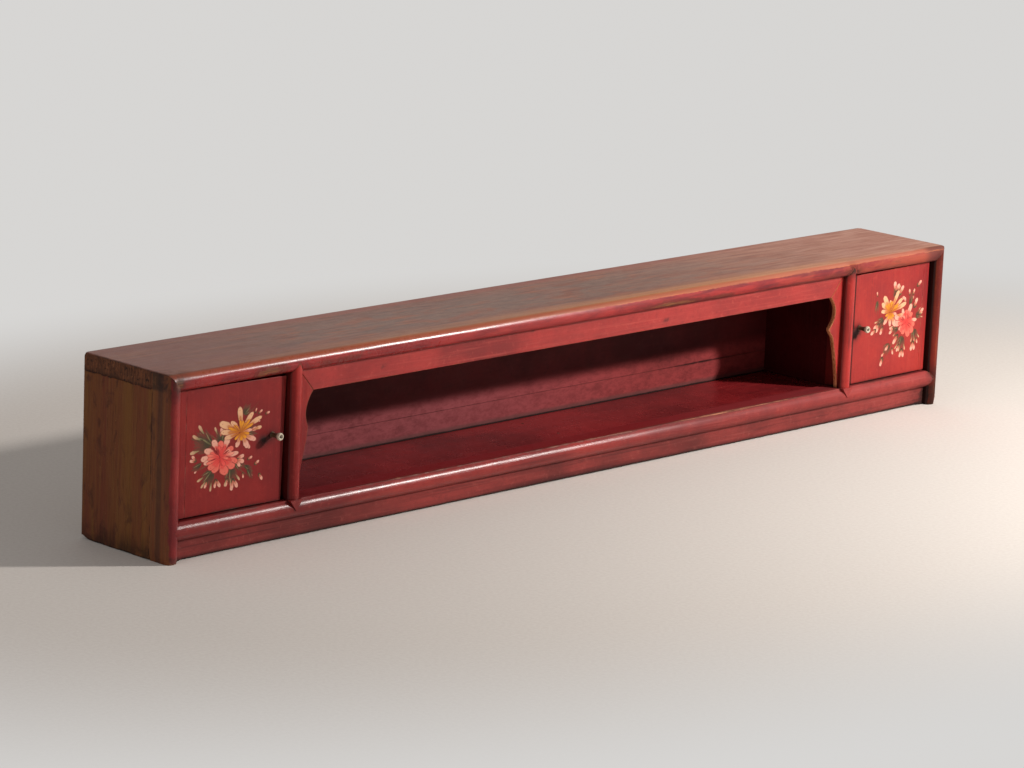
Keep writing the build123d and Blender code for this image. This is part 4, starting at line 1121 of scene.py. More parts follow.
def make_shelf_boards():
    """The floor, the two back boards and the dividers."""
    block = (-PANEL_SIDE, FRAME_BACK, SHELF_BASE), (PANEL_SIDE, BACK_FACE, SHELF_TOP)
    piece = board("floor_board", block, 61, "inner_lacquer", SHELF, BARE_X, cell=9 * MM, grain=(4, 30, 60))
    paint_by_face(piece, lambda centre, normal: normal.z < -0.5)
    sawing = {"radius": BACK_ARRIS, "cell": 9 * MM, "depth": 0.1 * MM, "grain": (4, 60, 40)}
    for node, seed, base, head in (
        ("upper_back_board", 63, UPPER_BACK_LOW[2], TOP_BASE),
        ("lower_back_board", 64, LOWER_BACK_LOW[2], LOWER_BACK_HIGH[2]),
    ):
        block = (-PANEL_SIDE, BACK_FACE, base), (PANEL_SIDE, BACK_REAR, head)
        piece = board(node, block, seed, "inner_lacquer", BACKS, BARE_X, **sawing)
        paint_by_face(piece, lambda centre, normal: normal.y > 0.5)
    for name, side in SIDES.items():
        xs = (DIVIDER_LOW[0], DIVIDER_HIGH[0])
        block = side_block(side, xs, (FRAME_BACK, BACK_FACE), (SHELF_TOP, TOP_BASE))
        board(f"{name}_divider", block, 67 + side, "inner_lacquer", INSIDE_Z_SHADED, grain=GRAIN_Z)


def make_bearers_and_stops():
    """Rough pieces out of sight: the bearers under the floor and the strips that the doors close on."""
    for seed, name in enumerate(("left", "middle", "right"), 71):
        node = f"{name}_floor_bearer"
        low, high = corners(node)
        low[1] = FRAME_BACK
        sawing = {"radius": SAWN_ARRIS, "grain": GRAIN_Y, "depth": 0.6 * MM}
        board(node, (low, high), seed, "bare_wood", BARE_Y, **sawing)
    for name, side in SIDES.items():
        node = f"{name}_door_stop"
        sawing = {"radius": SAWN_ARRIS, "grain": (60, 60, 6), "depth": 0.3 * MM}
        board(node, corners(node), 75 + side, "bare_wood", BARE_Z, **sawing)


def make_aprons():
    """The board under the top, mitred onto the spandrels, and the one under the bottom rail."""

    def shape_apron(points):
        x, _, z = points.T
        share = np.clip((np.abs(x) - STILE_INNER) / APRON_LEAD + 1, 0, 1)
        x -= np.sign(x) * share * (TOP_BASE - z) / (TOP_BASE - APRON_LOW[2]) * APRON_MITRE
        return points

    def shape_skirt(points):
        x, _, z = points.T
        clear = smooth_step(np.abs(x), POST_SIDE - EAR, POST_SIDE - EAR - LIFT)
        ragged = 1 + 0.25 * layered_noise(points, (30, 30, 30), 84)
        z += LIFT * clear * ragged * smooth_step(z, 12 * MM, 0)
        return points

    block = (-STILE_INNER, *APRON_LOW[1:]), (STILE_INNER, corners("right_spandrel")[1][1], TOP_BASE)
    sawing = {"cell": 6 * MM, "grain": GRAIN_X, "shape": shape_apron}
    board("top_apron", block, 81, "front_lacquer", APRON, **sawing)
    block = (-POST_SIDE, SKIRT_LOW[1], 0), (POST_SIDE, SKIRT_HIGH[1], RAIL_BASE)
    sawing = {"cell": 5 * MM, "grain": GRAIN_X, "shape": shape_skirt}
    board("lower_apron", block, 82, "front_lacquer", SKIRT, **sawing)


# ---- spandrels
SPANDREL_DROP = 35 * MM  # of the mitre's lower end below the top
SPANDREL_REACH = 30 * MM
SPANDREL_WAIST = 16.5 * MM
CUSP_TOP = 90 * MM  # below the top
CUSP_FOOT = 110 * MM
CUSP_REACH = {"left": 21 * MM, "right": 30 * MM}
SPANDREL_NECK = 19 * MM
SPANDREL_FOOT = 1.5 * MM
SPANDREL_HOLLOW = 2 * MM
SPANDREL_BREAKS = (0, SPANDREL_DROP, CUSP_TOP, CUSP_FOOT, TOP_BASE - RAIL_TOP)
SPANDREL_SHARES = np.array([0, 0.04, 0.12, 0.25, 0.4, 0.6, 0.75, 0.88, 0.96, 1.0])
THINNEST = 0.05 * MM


def spandrel_width(below_top, reach):
    """Width of a spandrel at each distance below the top."""
    neck = min(SPANDREL_NECK, reach - 2 * MM)
    arch, lobe, shin = [
        np.clip((below_top - start) / (end - start), 0, 1)
        for start, end in zip(SPANDREL_BREAKS[1:], SPANDREL_BREAKS[2:])
    ]
    sag = (SPANDREL_REACH + reach) / 2 - SPANDREL_WAIST
    arch_width = SPANDREL_REACH + (reach - SPANDREL_REACH) * arch - sag * 4 * arch * (1 - arch)
    lobe_width = reach + (neck - reach) * smooth_step(lobe, 0.1, 1.0)
    shin_width = neck + (SPANDREL_FOOT - neck) * shin - SPANDREL_HOLLOW * 4 * shin * (1 - shin)
    width = np.where(below_top < SPANDREL_DROP, below_top / SPANDREL_DROP * SPANDREL_REACH, arch_width)
    width = np.where(below_top > CUSP_TOP, lobe_width, width)
    return np.where(below_top > CUSP_FOOT, shin_width, width)


def make_spandrel(name, side):
    """A spandrel: a thin, tapering board with a sawn, hollow edge and a cusp."""
    (_, y_low, _), (_, y_high, _) = corners(f"{name}_spandrel")
    pairs = zip(SPANDREL_BREAKS, SPANDREL_BREAKS[1:])
    drops = np.unique(np.concatenate([*[np.arange(a, b, 2 * MM) for a, b in pairs], SPANDREL_BREAKS]))
    ys = grid_lines(y_low, y_high, 2.5 * MM, (0.4 * MM, 1 * MM))
    points, faces = lattice(SPANDREL_SHARES, ys, (TOP_BASE - drops)[::-1])
    share = points[:, 0].copy()
    width = np.maximum(spandrel_width(TOP_BASE - points[:, 2], CUSP_REACH[name]), THINNEST)
    rim = np.minimum(points[:, 1] - y_low, y_high - points[:, 1])
    worn = smooth_step(share, 0.9, 1.0) * smooth_step(rim, 1 * MM, 0) * np.minimum(0.7 * MM, width * 0.3)
    edge = share > 0.99
    arris = np.where(edge, np.minimum(rim, 8 * MM), (1 - share) * width)
    points[:, 0] = side * (STILE_INNER - share * width + worn)
    faces = faces[:, ::-side]
    points = roughened(points, faces, 0.25 * MM, (60, 60, 12), 91 + side)
    fields = {"arris": np.maximum(arris, 0), "rubbed": patch_strength(points, WEAR["rubbed"]) + edge}
    piece = build(f"{name}_spandrel_wood", points, faces, fields, sharp=50)
    place(piece, "carcass", "front_lacquer", [f"{name}_spandrel"], SPANDRELS[name])


# ---- doors
HEAD_DROP = {"left": 4 * MM, "right": 2.5 * MM}
FOOT_DROP = {"left": 1.5 * MM, "right": 1 * MM}
LEAN = {"left": 6 * MM, "right": 0.0}
PIVOT_ROUNDING = 5 * MM
PIVOT_RADIUS = 4 * MM
PIVOT_ROOT = 2 * MM  # of a pivot's length inside its stile
PIVOT_EASE = 0.8 * MM
BATTEN_HEIGHT = 24 * MM
TURNED_SIDES = 40
# Radius and distance behind the door's face of each ring, in millimetres.
KNOB_PROFILE = (
    (1.3, 0.0), (4.2, 0.0), (4.6, -0.4), (4.6, -1.1), (4.1, -1.5), (3.7, -2.4), (3.5, -4.0), (3.4, -6.0),
    (3.5, -8.0), (3.8, -10.0), (4.2, -11.6), (4.35, -12.0), (4.1, -12.3), (4.5, -12.8), (5.0, -14.0),
    (5.5, -15.4), (5.85, -16.8), (5.95, -18.0), (5.9, -19.0), (5.6, -20.0), (5.1, -20.7), (4.6, -20.95),
    (3.9, -20.9), (3.4, -20.6), (3.0, -19.9), (2.7, -19.5), (1.3, -19.5),
)
PIN_PROFILE = (
    (0.4, -20.9), (1.1, -20.75), (1.7, -20.4), (1.95, -20.0), (1.95, -19.65), (1.15, -19.6), (1.15, 12.9),
    (1.9, 13.0), (1.7, 13.5), (1.1, 13.9), (0.4, 13.95),
)
WASHER_PROFILE = ((1.3, 12.05), (4.7, 12.05), (4.95, 12.25), (4.95, 12.7), (4.7, 12.95), (1.3, 12.95))


def turned(name, profile, centre, axis, smooth_angle=35):
    """A turned piece: (radius, distance) pairs spun about Y (1) or Z (2) through the centre."""
    angles = np.linspace(0, 2 * pi, TURNED_SIDES, endpoint=False)
    radius, distance = np.array(profile).T[:, :, None]
    rings = np.zeros((len(profile), TURNED_SIDES, 3))
    rings[:, :, 0] = radius * np.cos(angles)
    rings[:, :, 3 - axis] = radius * np.sin(angles)
    rings[:, :, axis] = distance
    numbers = np.arange(len(profile) * TURNED_SIDES).reshape(len(profile), TURNED_SIDES)
    following = np.roll(numbers, -1, axis=1)
    walls = np.stack([numbers[:-1], following[:-1], following[1:], numbers[1:]], axis=-1).reshape(-1, 4)
    faces = [*walls, numbers[0, ::-1], numbers[-1]]
    piece = build(name, rings.reshape(-1, 3) + centre, faces, sharp=smooth_angle)
    fix_winding(piece.data)
    return piece


def joined(name, *pieces):
    """Joins meshes into the first one under a new name."""
    with bpy.context.temp_override(active_object=pieces[0], selected_editable_objects=list(pieces)):
        bpy.ops.object.join()
    pieces[0].name = name
    return pieces[0]


def make_door_board(name, side, xs, foot, head):
    """A door's board, which leans and sags a little towards its free edge."""
    low, high = corners(f"{name}_door_board")
    seam, free = xs

    def shape(points):
        share = (seam - np.abs(points[:, 0])) / (seam - free)
        level = (points[:, 2] - foot) / (head - foot)
        points[:, 0] += side * share * (1 - level) * LEAN[name]
        points[:, 2] -= share * (level * HEAD_DROP[name] + (1 - level) * FOOT_DROP[name])
        return points

    block = side_block(side, xs, (low[1], high[1]), (foot, head))
    sawing = {"radius": DOOR_ARRIS, "cell": FINE_CELL, "grain": (30, 30, 5), "depth": 0.2 * MM}
    piece = slab(f"{name}_door_board_wood", *block, 101 + side, shape=shape, **sawing)
    place(piece, f"{name}_door", "door_lacquer", [f"{name}_door_board"], DOORS[name], BARE_Z)
    paint_by_face(piece, lambda centre, normal: normal.y > 0.7)


def make_pivot_stile(name, side, xs, foot, head):
    """The narrow stile that a door turns on, with a rounded corner and a pivot at each end."""
    low, high = corners(f"{name}_door_pivot_stile")
    outer = max(xs)

    def shape(points):
        return round_off(points, 1, (outer, -low[1]), PIVOT_ROUNDING, way=-1)

    block = side_block(side, xs, (low[1], high[1]), (foot, head))
    sawing = {"radius": DOOR_ARRIS, "cell": 2.5 * MM, "grain": (30, 30, 5), "depth": 0.2 * MM, "shape": shape}
    parts = [slab(f"{name}_pivot_stile_board", *block, 105 + side, **sawing)]
    centre = (side * (outer - (high[1] - low[1]) / 2), (low[1] + high[1]) / 2, 0)
    for end, tip, way in ((foot, low[2], -1), (head, high[2], 1)):
        profile = (
            (PIVOT_RADIUS, end - way * PIVOT_ROOT),
            (PIVOT_RADIUS, tip - way * PIVOT_EASE),
            (PIVOT_RADIUS - PIVOT_EASE * 0.4, tip - way * PIVOT_EASE * 0.3),
            (PIVOT_RADIUS - PIVOT_EASE, tip),
        )
        parts.append(turned(f"{name}_pivot", profile, centre, 2))
    piece = joined(f"{name}_pivot_stile_wood", *parts)
    place(piece, f"{name}_door", "door_lacquer", [f"{name}_door_pivot_stile"], DOORS[name], BARE_Z)
    paint_by_face(piece, lambda centre, normal: normal.y > 0.7)


def make_door(name, side):
    """A door: its board, its pivot stile and the two battens across its back."""
    seam, outer = sorted(abs(corner[0]) for corner in corners(f"{name}_door_pivot_stile"))
    low, high = corners(f"{name}_door_board")
    free = min(abs(low[0]), abs(high[0]))
    foot, head = low[2] + FOOT_DROP[name], high[2]
    make_door_board(name, side, (seam, free), foot, head)
    make_pivot_stile(name, side, (seam, outer), foot, head)
    low, high = corners(f"{name}_door_battens")
    lower_high = (*high[:2], low[2] + BATTEN_HEIGHT)
    upper_low = (*low[:2], high[2] - BATTEN_HEIGHT)
    lower = slab(f"{name}_lower_batten", low, lower_high, 111, cell=6 * MM)
    upper = slab(f"{name}_upper_batten", upper_low, high, 112, cell=6 * MM)
    battens = joined(f"{name}_door_battens_wood", lower, upper)
    place(battens, f"{name}_door", "bare_wood", [f"{name}_door_battens"], BARE_X)


def make_knob(name):
    """A turned knob on an iron pin, clenched on a washer behind the door."""
    low, high = corners(f"{name}_knob")
    centre = ((low[0] + high[0]) / 2, high[1], (low[2] + high[2]) / 2)
    for part, profile, slot, material in (
        ("knob", KNOB_PROFILE, "knob_wood", KNOB),
        ("knob_pin", PIN_PROFILE, "iron", PIN),
        ("knob_washer", WASHER_PROFILE, "iron", IRON),
    ):
        piece = turned(f"{name}_{part}_turned", np.array(profile) * MM, centre, 1, 50)
        place(piece, f"{name}_door", slot, [f"{name}_{part}"], material)


# ---- flowers painted on the doors
CORAL, ROSE, BLUSH = "#D23A36", "#DE5046", "#DEA08A"
AMBER, GOLD, PEACH, CREAM = "#B8640C", "#D88C1C", "#C67E52", "#DCA880"
OLIVE, MOSS, SAGE = "#3C321E", "#585030", "#8A7C54"
CORALS = ("#DE5046", "#E2705E", "#D0443C", "#E48E78")
# The right door's ground and faded leaf colours are lighter than the left's, the same painted light as the
# doors' palettes.
GROUND = {"left": "#8C2624", "right": "#A0302A"}
FADED_LEAF = {"left": "#6A3426", "right": "#7A3A2C"}
FLOWER_STRETCH = {"left": 1.42, "right": 1.15}  # along X
PAINT_LIFT = 0.05 * MM  # of the lowest paint above the door
PAINT_LAYER = 0.005 * MM
PAINT_CROWN = 0.02 * MM
TWIG_LAYER, LEAF_LAYER, BUD_LAYER, FLOWER_LAYER = 0, 3, 12, 24
ROWS, COLUMNS = 12, 9  # points along and across a stroke
WIDEST = 0.66  # share of a round-ended stroke's length at which it's widest
NARROWEST = 0.06
BUD_SPREADS = {1: (0,), 2: (-17, 17), 3: (-30, 0, 28)}
# Petals by their angle clockwise from upright, length and width.
PEONY_PALE = ((-54, 28, 11), (-84, 27, 12), (-16, 27, 8), (30, 30, 9), (88, 25, 8), (-112, 21, 9))
PEONY_FULL = (
    (8, 23, 9), (58, 21, 10), (116, 25, 12), (142, 26, 12), (168, 27, 12), (-160, 23, 11), (-134, 20, 10),
)
LILY_BACK = (
    (-52, 33, 11), (-80, 29, 10), (-26, 21, 7), (-2, 38, 8), (27, 33, 8), (48, 36, 9), (-108, 20, 8),
)
LILY_LOW = ((84, 15, 6), (128, 26, 9), (158, 25, 8), (-172, 21, 7))


def towards(start, angle, reach):
    """The point at a distance from the start, in a direction clockwise from upright."""
    return (start[0] + reach * sin(radians(angle)), start[1] + reach * cos(radians(angle)))


class Spray:
    """Brush strokes on a door's face, gathered into one mesh. Stroke sizes are in millimetres."""

    def __init__(self, door, seed):
        self.points, self.outlines, self.roots, self.tips = [], [], [], []
        self.ground, self.faded = GROUND[door], FADED_LEAF[door]
        self.flower_stretch = FLOWER_STRETCH[door]
        self.face_y = corners(f"{door}_door_board")[0][1]
        self.random = np.random.RandomState(seed)
        self.layer = 0
        self.middle, self.stretch = 0.0, 1.0

    def stroke(self, start, angle, length, width, root, tip, bend=0.0, round_end=True):
        """A stroke from its start, leaning by the angle from upright. It ends round or in a point."""
        self.layer += 1
        ragged = self.random.uniform(-0.10, 0.10, (ROWS, 2))
        part = np.linspace(0, 1, ROWS)[:, None]
        across = np.linspace(-1, 1, COLUMNS)
        heading = np.radians(angle + bend * np.arange(ROWS) / ROWS)[:, None]
        step = length / (ROWS - 1)
        x = start[0] + step * (np.cumsum(np.sin(heading), axis=0) - np.sin(heading[0]))
        z = start[1] + step * (np.cumsum(np.cos(heading), axis=0) - np.cos(heading[0]))
        spread = np.sin(pi * part**0.8)
        if round_end:
            beyond = np.clip((part - WIDEST) / (1 - WIDEST), 0, 1)
            spread = np.where(part < WIDEST, (part / WIDEST) ** 0.75, np.sqrt(1 - beyond**2))
        uneven = 1 + np.where(across > 0, ragged[:, 1:], ragged[:, :1])
        reach = 0.5 * width * np.maximum(spread, NARROWEST) * across * uneven
        crown = PAINT_CROWN * (1 - across**2) * np.sin(pi * np.minimum(part + 0.1, 1))
        stretched_x = self.middle + (x + reach * np.cos(heading) - self.middle) * self.stretch
        y = self.face_y - PAINT_LIFT - PAINT_LAYER * self.layer - crown
        sheet = np.stack([stretched_x * MM, y, (z - reach * np.sin(heading)) * MM], axis=-1)
        near_end = np.maximum((part - 0.75) / 0.25, (0.12 - part) / 0.12)
        self.points.append(sheet.reshape(-1, 3))
        self.outlines.append(np.maximum(np.abs(across), near_end).ravel())
        self.roots.append(root)
        self.tips.append(tip)

    def petal(self, start, angle, length, width, root, body, rim, bend=0.0):
        """A dab with a pale rim and a stronger colour inside, thin at the root and round at the tip."""
        angle += self.random.uniform(-5, 5)
        size = self.random.uniform(0.90, 1.10)
        length, width = length * size, width * size
        self.stroke(start, angle, length, width, body, rim, bend)
        self.stroke(start, angle, length * 0.84, width * 0.66, root, body, bend)

    def ring(self, centre, petals, root, body, rim, size, start, lean):
        """Petals round a centre."""
        for angle, length, width in petals:
            bend = self.random.uniform(-16, 16)
            foot = towards(centre, angle + lean, start)
            self.petal(foot, angle + lean, length * size, width * size, root, body, rim, bend)

    def burst(self, centre, count, lean, angles, lengths, size, width, root, tips):
        """Strokes from one point at random angles and lengths. They take the tip colours in turn."""
        for number in range(count):
            angle = self.random.uniform(*angles) + lean
            length = self.random.uniform(*lengths) * size
            bend = 8 if len(tips) > 1 else self.random.uniform(-12, 12)
            self.stroke(centre, angle, length, width * size, root, tips[number % len(tips)], bend)

    def peony(self, centre, size, lean):
        """A full coral flower with pale tips round its upper left."""
        self.ring(centre, PEONY_PALE, ROSE, "#DA6456", BLUSH, size, 1.5, lean)
        self.ring(centre, PEONY_FULL, CORAL, ROSE, "#DC6656", size, 1.5, lean)
        self.burst(centre, 14, lean, (-150, 190), (12, 22), size, 5.6, CORAL, CORALS)
        for _ in range(9):
            angle = self.random.uniform(-120, 170)
            length = self.random.uniform(8, 15) * size
            root = towards(centre, angle, 5)
            self.stroke(root, angle + lean, length, 1.8 * size, "#A02C2A", self.ground, 8, False)

    def lily(self, centre, size, lean):
        """A golden flower whose loose peach petals open upward from a low heart."""
        self.ring(centre, LILY_BACK, AMBER, PEACH, CREAM, size, 2, lean)
        self.ring(centre, LILY_LOW, "#C07838", "#CE8264", BLUSH, size, 2, lean)
        self.layer += 1
        aside = towards((centre[0], centre[1] + 1), 90 + lean, 17 * size)
        self.petal(aside, 78 + lean, 14 * size, 7 * size, "#C48048", PEACH, CREAM)
        self.burst(centre, 13, lean, (-66, 58), (14, 24), size, 4.5, AMBER, (GOLD,))
        for angle in (-142, 172, 140, 106):
            self.stroke(centre, angle + lean, 13 * size, 5 * size, AMBER, GOLD, 6)
        for angle in (-40, -14, 14, 38):
            self.stroke(centre, angle + lean, 20 * size, 1.2 * size, "#A05C16", "#96502A", 10, False)

    def flower(self, paint, centre, size, lean):
        """One of the two flowers, drawn over the rest and stretched along X."""
        self.layer = FLOWER_LAYER
        self.middle, self.stretch = centre[0], self.flower_stretch
        paint(centre, size, lean)
        self.middle, self.stretch = 0.0, 1.0

    def leaf(self, start, angle, length, width):
        """A dark leaf of feathery strokes that fade out, with one pale edge."""
        for lean, share in ((-13, 0.8), (12, 0.85), (0, 1.0)):
            self.stroke(start, angle + lean, length * share, width * 0.75, OLIVE, self.faded, 10, False)
        self.stroke(start, angle + 10, length * 0.7, width * 0.25, MOSS, SAGE, 6, False)

    def frond(self, start, angle, length, pale):
        """Three leaves from one point, with a few pale dabs at their tips."""
        self.layer = LEAF_LAYER
        self.leaf(start, angle - 28, length * 0.85, length * 0.34)
        self.layer = LEAF_LAYER
        self.leaf(start, angle + 26, length * 0.8, length * 0.32)
        self.leaf(start, angle, length, length * 0.34)
        for lean in (-30, 6, 30) if pale else ():
            tip = towards(start, angle + lean, length * 0.55)
            self.stroke(tip, angle + lean, length * 0.42, length * 0.13, SAGE, "#C89A78", 8)

    def twig(self, start, angle, length, bend):
        self.layer = TWIG_LAYER
        self.stroke(start, angle, length, 1.5, MOSS, self.faded, bend, False)

    def bud(self, start, angle, size, lobes):
        """Small pale dabs in a dark calyx."""
        self.layer = BUD_LAYER
        for lean in BUD_SPREADS[lobes]:
            self.petal(start, angle + lean, 10 * size, 3.9 * size, "#A8503C", "#CC7C62", BLUSH)
        for lean in (-30, 28):
            self.stroke(start, angle + lean, 5 * size, 1.8 * size, OLIVE, MOSS, 10, False)

    def finish(self, name):
        """One mesh of all the strokes, with the fields and colours that the brush paint reads."""
        strokes, size = len(self.points), ROWS * COLUMNS
        numbers = np.arange(strokes * size).reshape(strokes, ROWS, COLUMNS)
        quad = [numbers[:, :-1, :-1], numbers[:, :-1, 1:], numbers[:, 1:, 1:], numbers[:, 1:, :-1]]
        along = np.tile(np.repeat(np.linspace(0, 1, ROWS), COLUMNS), strokes)
        fields = {"along": along, "outline": np.concatenate(self.outlines)}
        piece = build(name, np.concatenate(self.points), np.stack(quad, axis=-1).reshape(-1, 4), fields)
        for field, codes in (("root", self.roots), ("tip", self.tips), ("ground", [self.ground] * strokes)):
            layer = piece.data.attributes.new(field, "FLOAT_COLOR", "POINT")
            colours = np.repeat([rgb(code) for code in codes], size, axis=0)
            layer.data.foreach_set("color", colours.astype(np.float32).ravel())
        return piece


# Each part starts with its place on the door, X and Z in millimetres, and its angle. Then a twig has its
# length and bend, a frond its length and whether it has pale dabs, a leaf its length and width, and a bud
# its size and number of lobes. A flower has its place, size and lean.
SPRAYS = {
    "left": {
        "seed": 7,
        "twig": (
            (-790, 168, -44, 42, -16), (-742, 196, 38, 42, 16), (-780, 138, 100, 62, 22),
            (-800, 130, 200, 30, -8), (-774, 128, 166, 34, 8), (-812, 140, 250, 30, 10),
            (-740, 184, 84, 34, -6), (-768, 134, 120, 54, 10),
        ),
        "frond": (
            (-806, 168, -70, 46, True), (-818, 178, -84, 32, False), (-788, 168, 2, 32, True),
            (-742, 180, 100, 28, False), (-805, 130, 214, 34, True), (-770, 130, 168, 32, True),
            (-762, 136, 104, 28, False), (-744, 206, 34, 22, False),
        ),
        "leaf": ((-742, 128, 118, 24, 7), (-826, 144, 240, 24, 8), (-736, 122, 140, 22, 7)),
        "bud": (
            (-722, 206, 16, 0.9, 1), (-716, 204, 58, 1.0, 1), (-702, 202, 76, 1.0, 1),
            (-720, 194, 96, 0.9, 1), (-734, 180, 78, 1.7, 1), (-742, 166, 140, 1.6, 1),
            (-790, 176, 4, 1.8, 1), (-778, 172, 34, 1.0, 1), (-736, 136, 66, 1.1, 1),
            (-722, 126, 62, 1.2, 1), (-730, 120, 156, 1.3, 1), (-712, 112, 150, 1.3, 1),
            (-836, 148, 296, 1.4, 2), (-834, 140, 206, 1.2, 1), (-814, 116, 204, 1.4, 1),
            (-798, 116, 168, 1.6, 2), (-774, 114, 196, 1.4, 1), (-764, 112, 168, 1.9, 2),
            (-760, 140, 112, 1.8, 3), (-744, 118, 176, 1.0, 1),
        ),
        "lily": ((-750, 180), 1.0, 0),
        "peony": ((-790, 148), 1.0, 0),
    },
    "right": {
        "seed": 19,
        "twig": (
            (782, 206, 22, 30, 8), (822, 182, 10, 46, 14), (792, 138, 222, 66, -10),
            (812, 130, 188, 36, -6), (836, 142, 152, 36, 10), (750, 166, 226, 32, 6),
            (736, 206, 176, 34, 8),
        ),
        "frond": (
            (782, 202, 18, 28, True), (752, 172, 224, 26, True), (794, 150, 250, 20, True),
            (806, 134, 188, 30, True), (838, 142, 164, 25, True), (842, 164, 66, 20, True),
            (772, 124, 214, 26, False),
        ),
        "leaf": ((732, 206, 178, 26, 7), (824, 184, 4, 30, 8)),
        "bud": (
            (780, 214, 14, 2.0, 2), (790, 208, 40, 2.1, 1), (792, 196, 62, 1.8, 1), (732, 212, -8, 0.9, 1),
            (840, 218, 46, 1.8, 1), (822, 204, -14, 1.2, 1), (830, 204, 24, 1.3, 1),
            (812, 190, -20, 1.4, 1), (826, 192, 30, 1.3, 1), (834, 180, 34, 2.2, 1), (848, 166, 50, 2.0, 1),
            (742, 164, 220, 2.0, 2), (734, 154, 240, 1.7, 1), (752, 158, 206, 1.6, 1),
            (784, 150, 256, 1.6, 2), (796, 138, 224, 2.4, 1), (808, 112, 184, 2.0, 2),
            (800, 120, 206, 1.5, 1), (838, 122, 180, 1.9, 2), (772, 124, 222, 1.6, 1),
            (780, 116, 168, 1.4, 1), (762, 110, 240, 1.2, 1), (756, 102, 202, 2.0, 1),
            (846, 126, 158, 1.2, 1),
        ),
        "lily": ((770, 180), 1.02, 26),
        "peony": ((814, 158), 1.0, -10),
    },
}


def paint_flowers(name):
    """Paints a door's spray of flowers."""
    plan = SPRAYS[name]
    spray = Spray(name, plan["seed"])
    for kind in ("twig", "frond", "leaf", "bud"):
        for x, z, *shape in plan[kind]:
            getattr(spray, kind)((x, z), *shape)
    spray.flower(spray.lily, *plan["lily"])
    spray.flower(spray.peony, *plan["peony"])
    place(spray.finish(f"{name}_door_flowers"), f"{name}_door", "door_lacquer", [], BRUSH)


# ---- making the cabinet
make_top()
make_rail()
make_aprons()
make_shelf_boards()
make_bearers_and_stops()
for name, side in SIDES.items():
    make_post(name, side)
    make_stile(name, side)
    make_end_panel(name, side)
    make_spandrel(name, side)
    make_door(name, side)
    make_knob(name)
for name in SIDES:
    paint_flowers(name)
for node in ("floor_nails", "back_nails", "left_stop_nails", "right_stop_nails"):
    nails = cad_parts[node]
    nails.data.materials.clear()
    nails.data.materials.append(IRON)

# ---- floor, lights and camera
FLOOR_HALF = 12.0
FADE_START, FADE_END = 0.75, 1.45  # distances from the middle
FADE_SHAPE = (0.62, 1.0, 1.0)
GLARE_START, GLARE_END = 1.25, 1.9  # distances from the foot of the key lamp
BACKGROUND_COLOUR = (1.0, 0.985, 0.965, 1.0)
SKY_LIGHT = 0.25
BACKGROUND = 0.68
LAMP_AIM = Vector((0, 0, 0.15))
KEY_PLACE = (1.79, -2.02, 1.47)
# Place, size, power and colour of each lamp.
LAMPS = {
    "key": (KEY_PLACE, 0.2, 107.0, (1.0, 0.97, 0.93)),
    "side": ((-3.6, -0.5, 1.7), 2.0, 14.0, (0.96, 0.98, 1.0)),
    "wall": ((1.6, 2.9, 1.5), 3.2, 15.0, (1.0, 0.99, 0.97)),
}
CAMERA_PLACE = (-4.63710, -4.44311, 1.60605)
CAMERA_YAW, CAMERA_PITCH, CAMERA_ROLL = 0.797545, 0.225230, 0.041863
SENSOR_WIDTH = 36.0
FOCAL_PIXELS = 4010.87
IMAGE_WIDTH = 1024


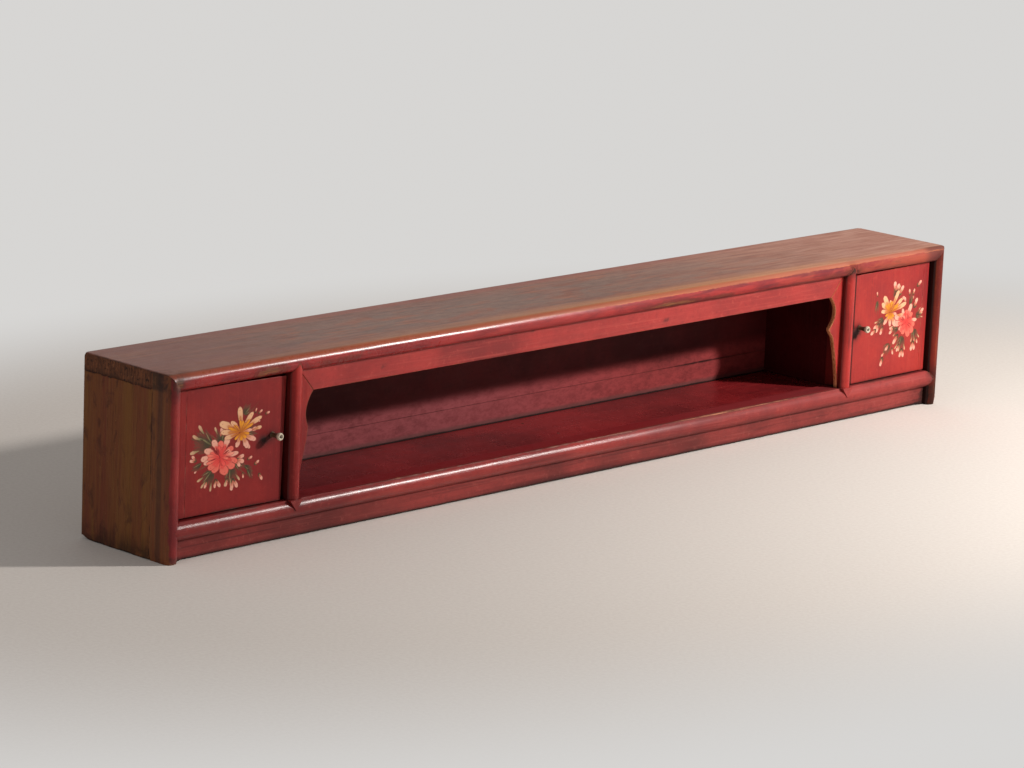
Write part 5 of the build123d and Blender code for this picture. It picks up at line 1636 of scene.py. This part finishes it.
def make_floor():
    """A pale, smooth floor that fades into the even background away from the cabinet."""
    mesh = bpy.data.meshes.new("studio_floor")
    square = ((-1, -1), (1, -1), (1, 1), (-1, 1))
    mesh.from_pydata([(x * FLOOR_HALF, y * FLOOR_HALF, 0) for x, y in square], [], [(0, 1, 2, 3)])
    floor = add_object("studio_floor", mesh)
    g = Graph("pale_floor")
    grit = g.noise(160, 4, 0.6, seed=3)
    colour = g.mix(g.smooth(grit, 0.3, 0.7), "#DAD1CA", "#E0D8D1")
    floor.data.materials.append(g.finish(colour, 1.0, grit, 0.15 * MM, specular=0.0))
    away = g.out("ShaderNodeVectorMath", {0: g.stretched(FADE_SHAPE)}, "Value", operation="LENGTH")
    foot = (*KEY_PLACE[:2], 0.0)
    to_lamp = g.out("ShaderNodeVectorMath", {0: g.place, 1: foot}, "Value", operation="DISTANCE")
    faded = g.most(g.smooth(away, FADE_START, FADE_END), g.smooth(to_lamp, GLARE_END, GLARE_START))
    glow = g.out("ShaderNodeEmission", {"Color": BACKGROUND_COLOUR, "Strength": BACKGROUND})
    mixed = g.out("ShaderNodeMixShader", {0: g.seen() * faded, 1: g.shader.outputs[0], 2: glow})
    g.feed(g.output.inputs["Surface"], mixed)


def area_light(name, location, size, power, colour):
    light = bpy.data.lights.new(name, "AREA")
    light.shape = "DISK"
    light.size = size
    light.energy = power
    light.color = colour
    lamp = add_object(name, light)
    lamp.rotation_euler = (LAMP_AIM - Vector(location)).to_track_quat("-Z", "Y").to_euler()
    lamp.location = location
    lamp.visible_camera = False


def make_world():
    """Weak even light on the object, and a pale background for the camera."""
    world = bpy.data.worlds.new("studio")
    bpy.context.scene.world = world
    g = Nodes(world)
    strength = g.span(g.seen(), SKY_LIGHT, BACKGROUND)
    background = g.out("ShaderNodeBackground", {"Color": BACKGROUND_COLOUR, "Strength": strength})
    g.node("ShaderNodeOutputWorld", {"Surface": background})


def make_camera():
    data = bpy.data.cameras.new("camera")
    data.sensor_fit = "HORIZONTAL"
    data.sensor_width = SENSOR_WIDTH
    data.lens = FOCAL_PIXELS * SENSOR_WIDTH / IMAGE_WIDTH
    camera = add_object("camera", data)
    level_reach = cos(CAMERA_PITCH)
    forward = Vector((sin(CAMERA_YAW) * level_reach, cos(CAMERA_YAW) * level_reach, -sin(CAMERA_PITCH)))
    level = Vector((cos(CAMERA_YAW), -sin(CAMERA_YAW), 0))
    upright = level.cross(forward)
    right = cos(CAMERA_ROLL) * level + sin(CAMERA_ROLL) * upright
    up = cos(CAMERA_ROLL) * upright - sin(CAMERA_ROLL) * level
    turn = Matrix((right, up, -forward)).transposed().to_4x4()
    camera.matrix_world = Matrix.Translation(CAMERA_PLACE) @ turn
    bpy.context.scene.camera = camera


make_floor()
for name, lamp in LAMPS.items():
    area_light(name, *lamp)
make_world()
make_camera()
bpy.context.scene.view_settings.view_transform = "Standard"
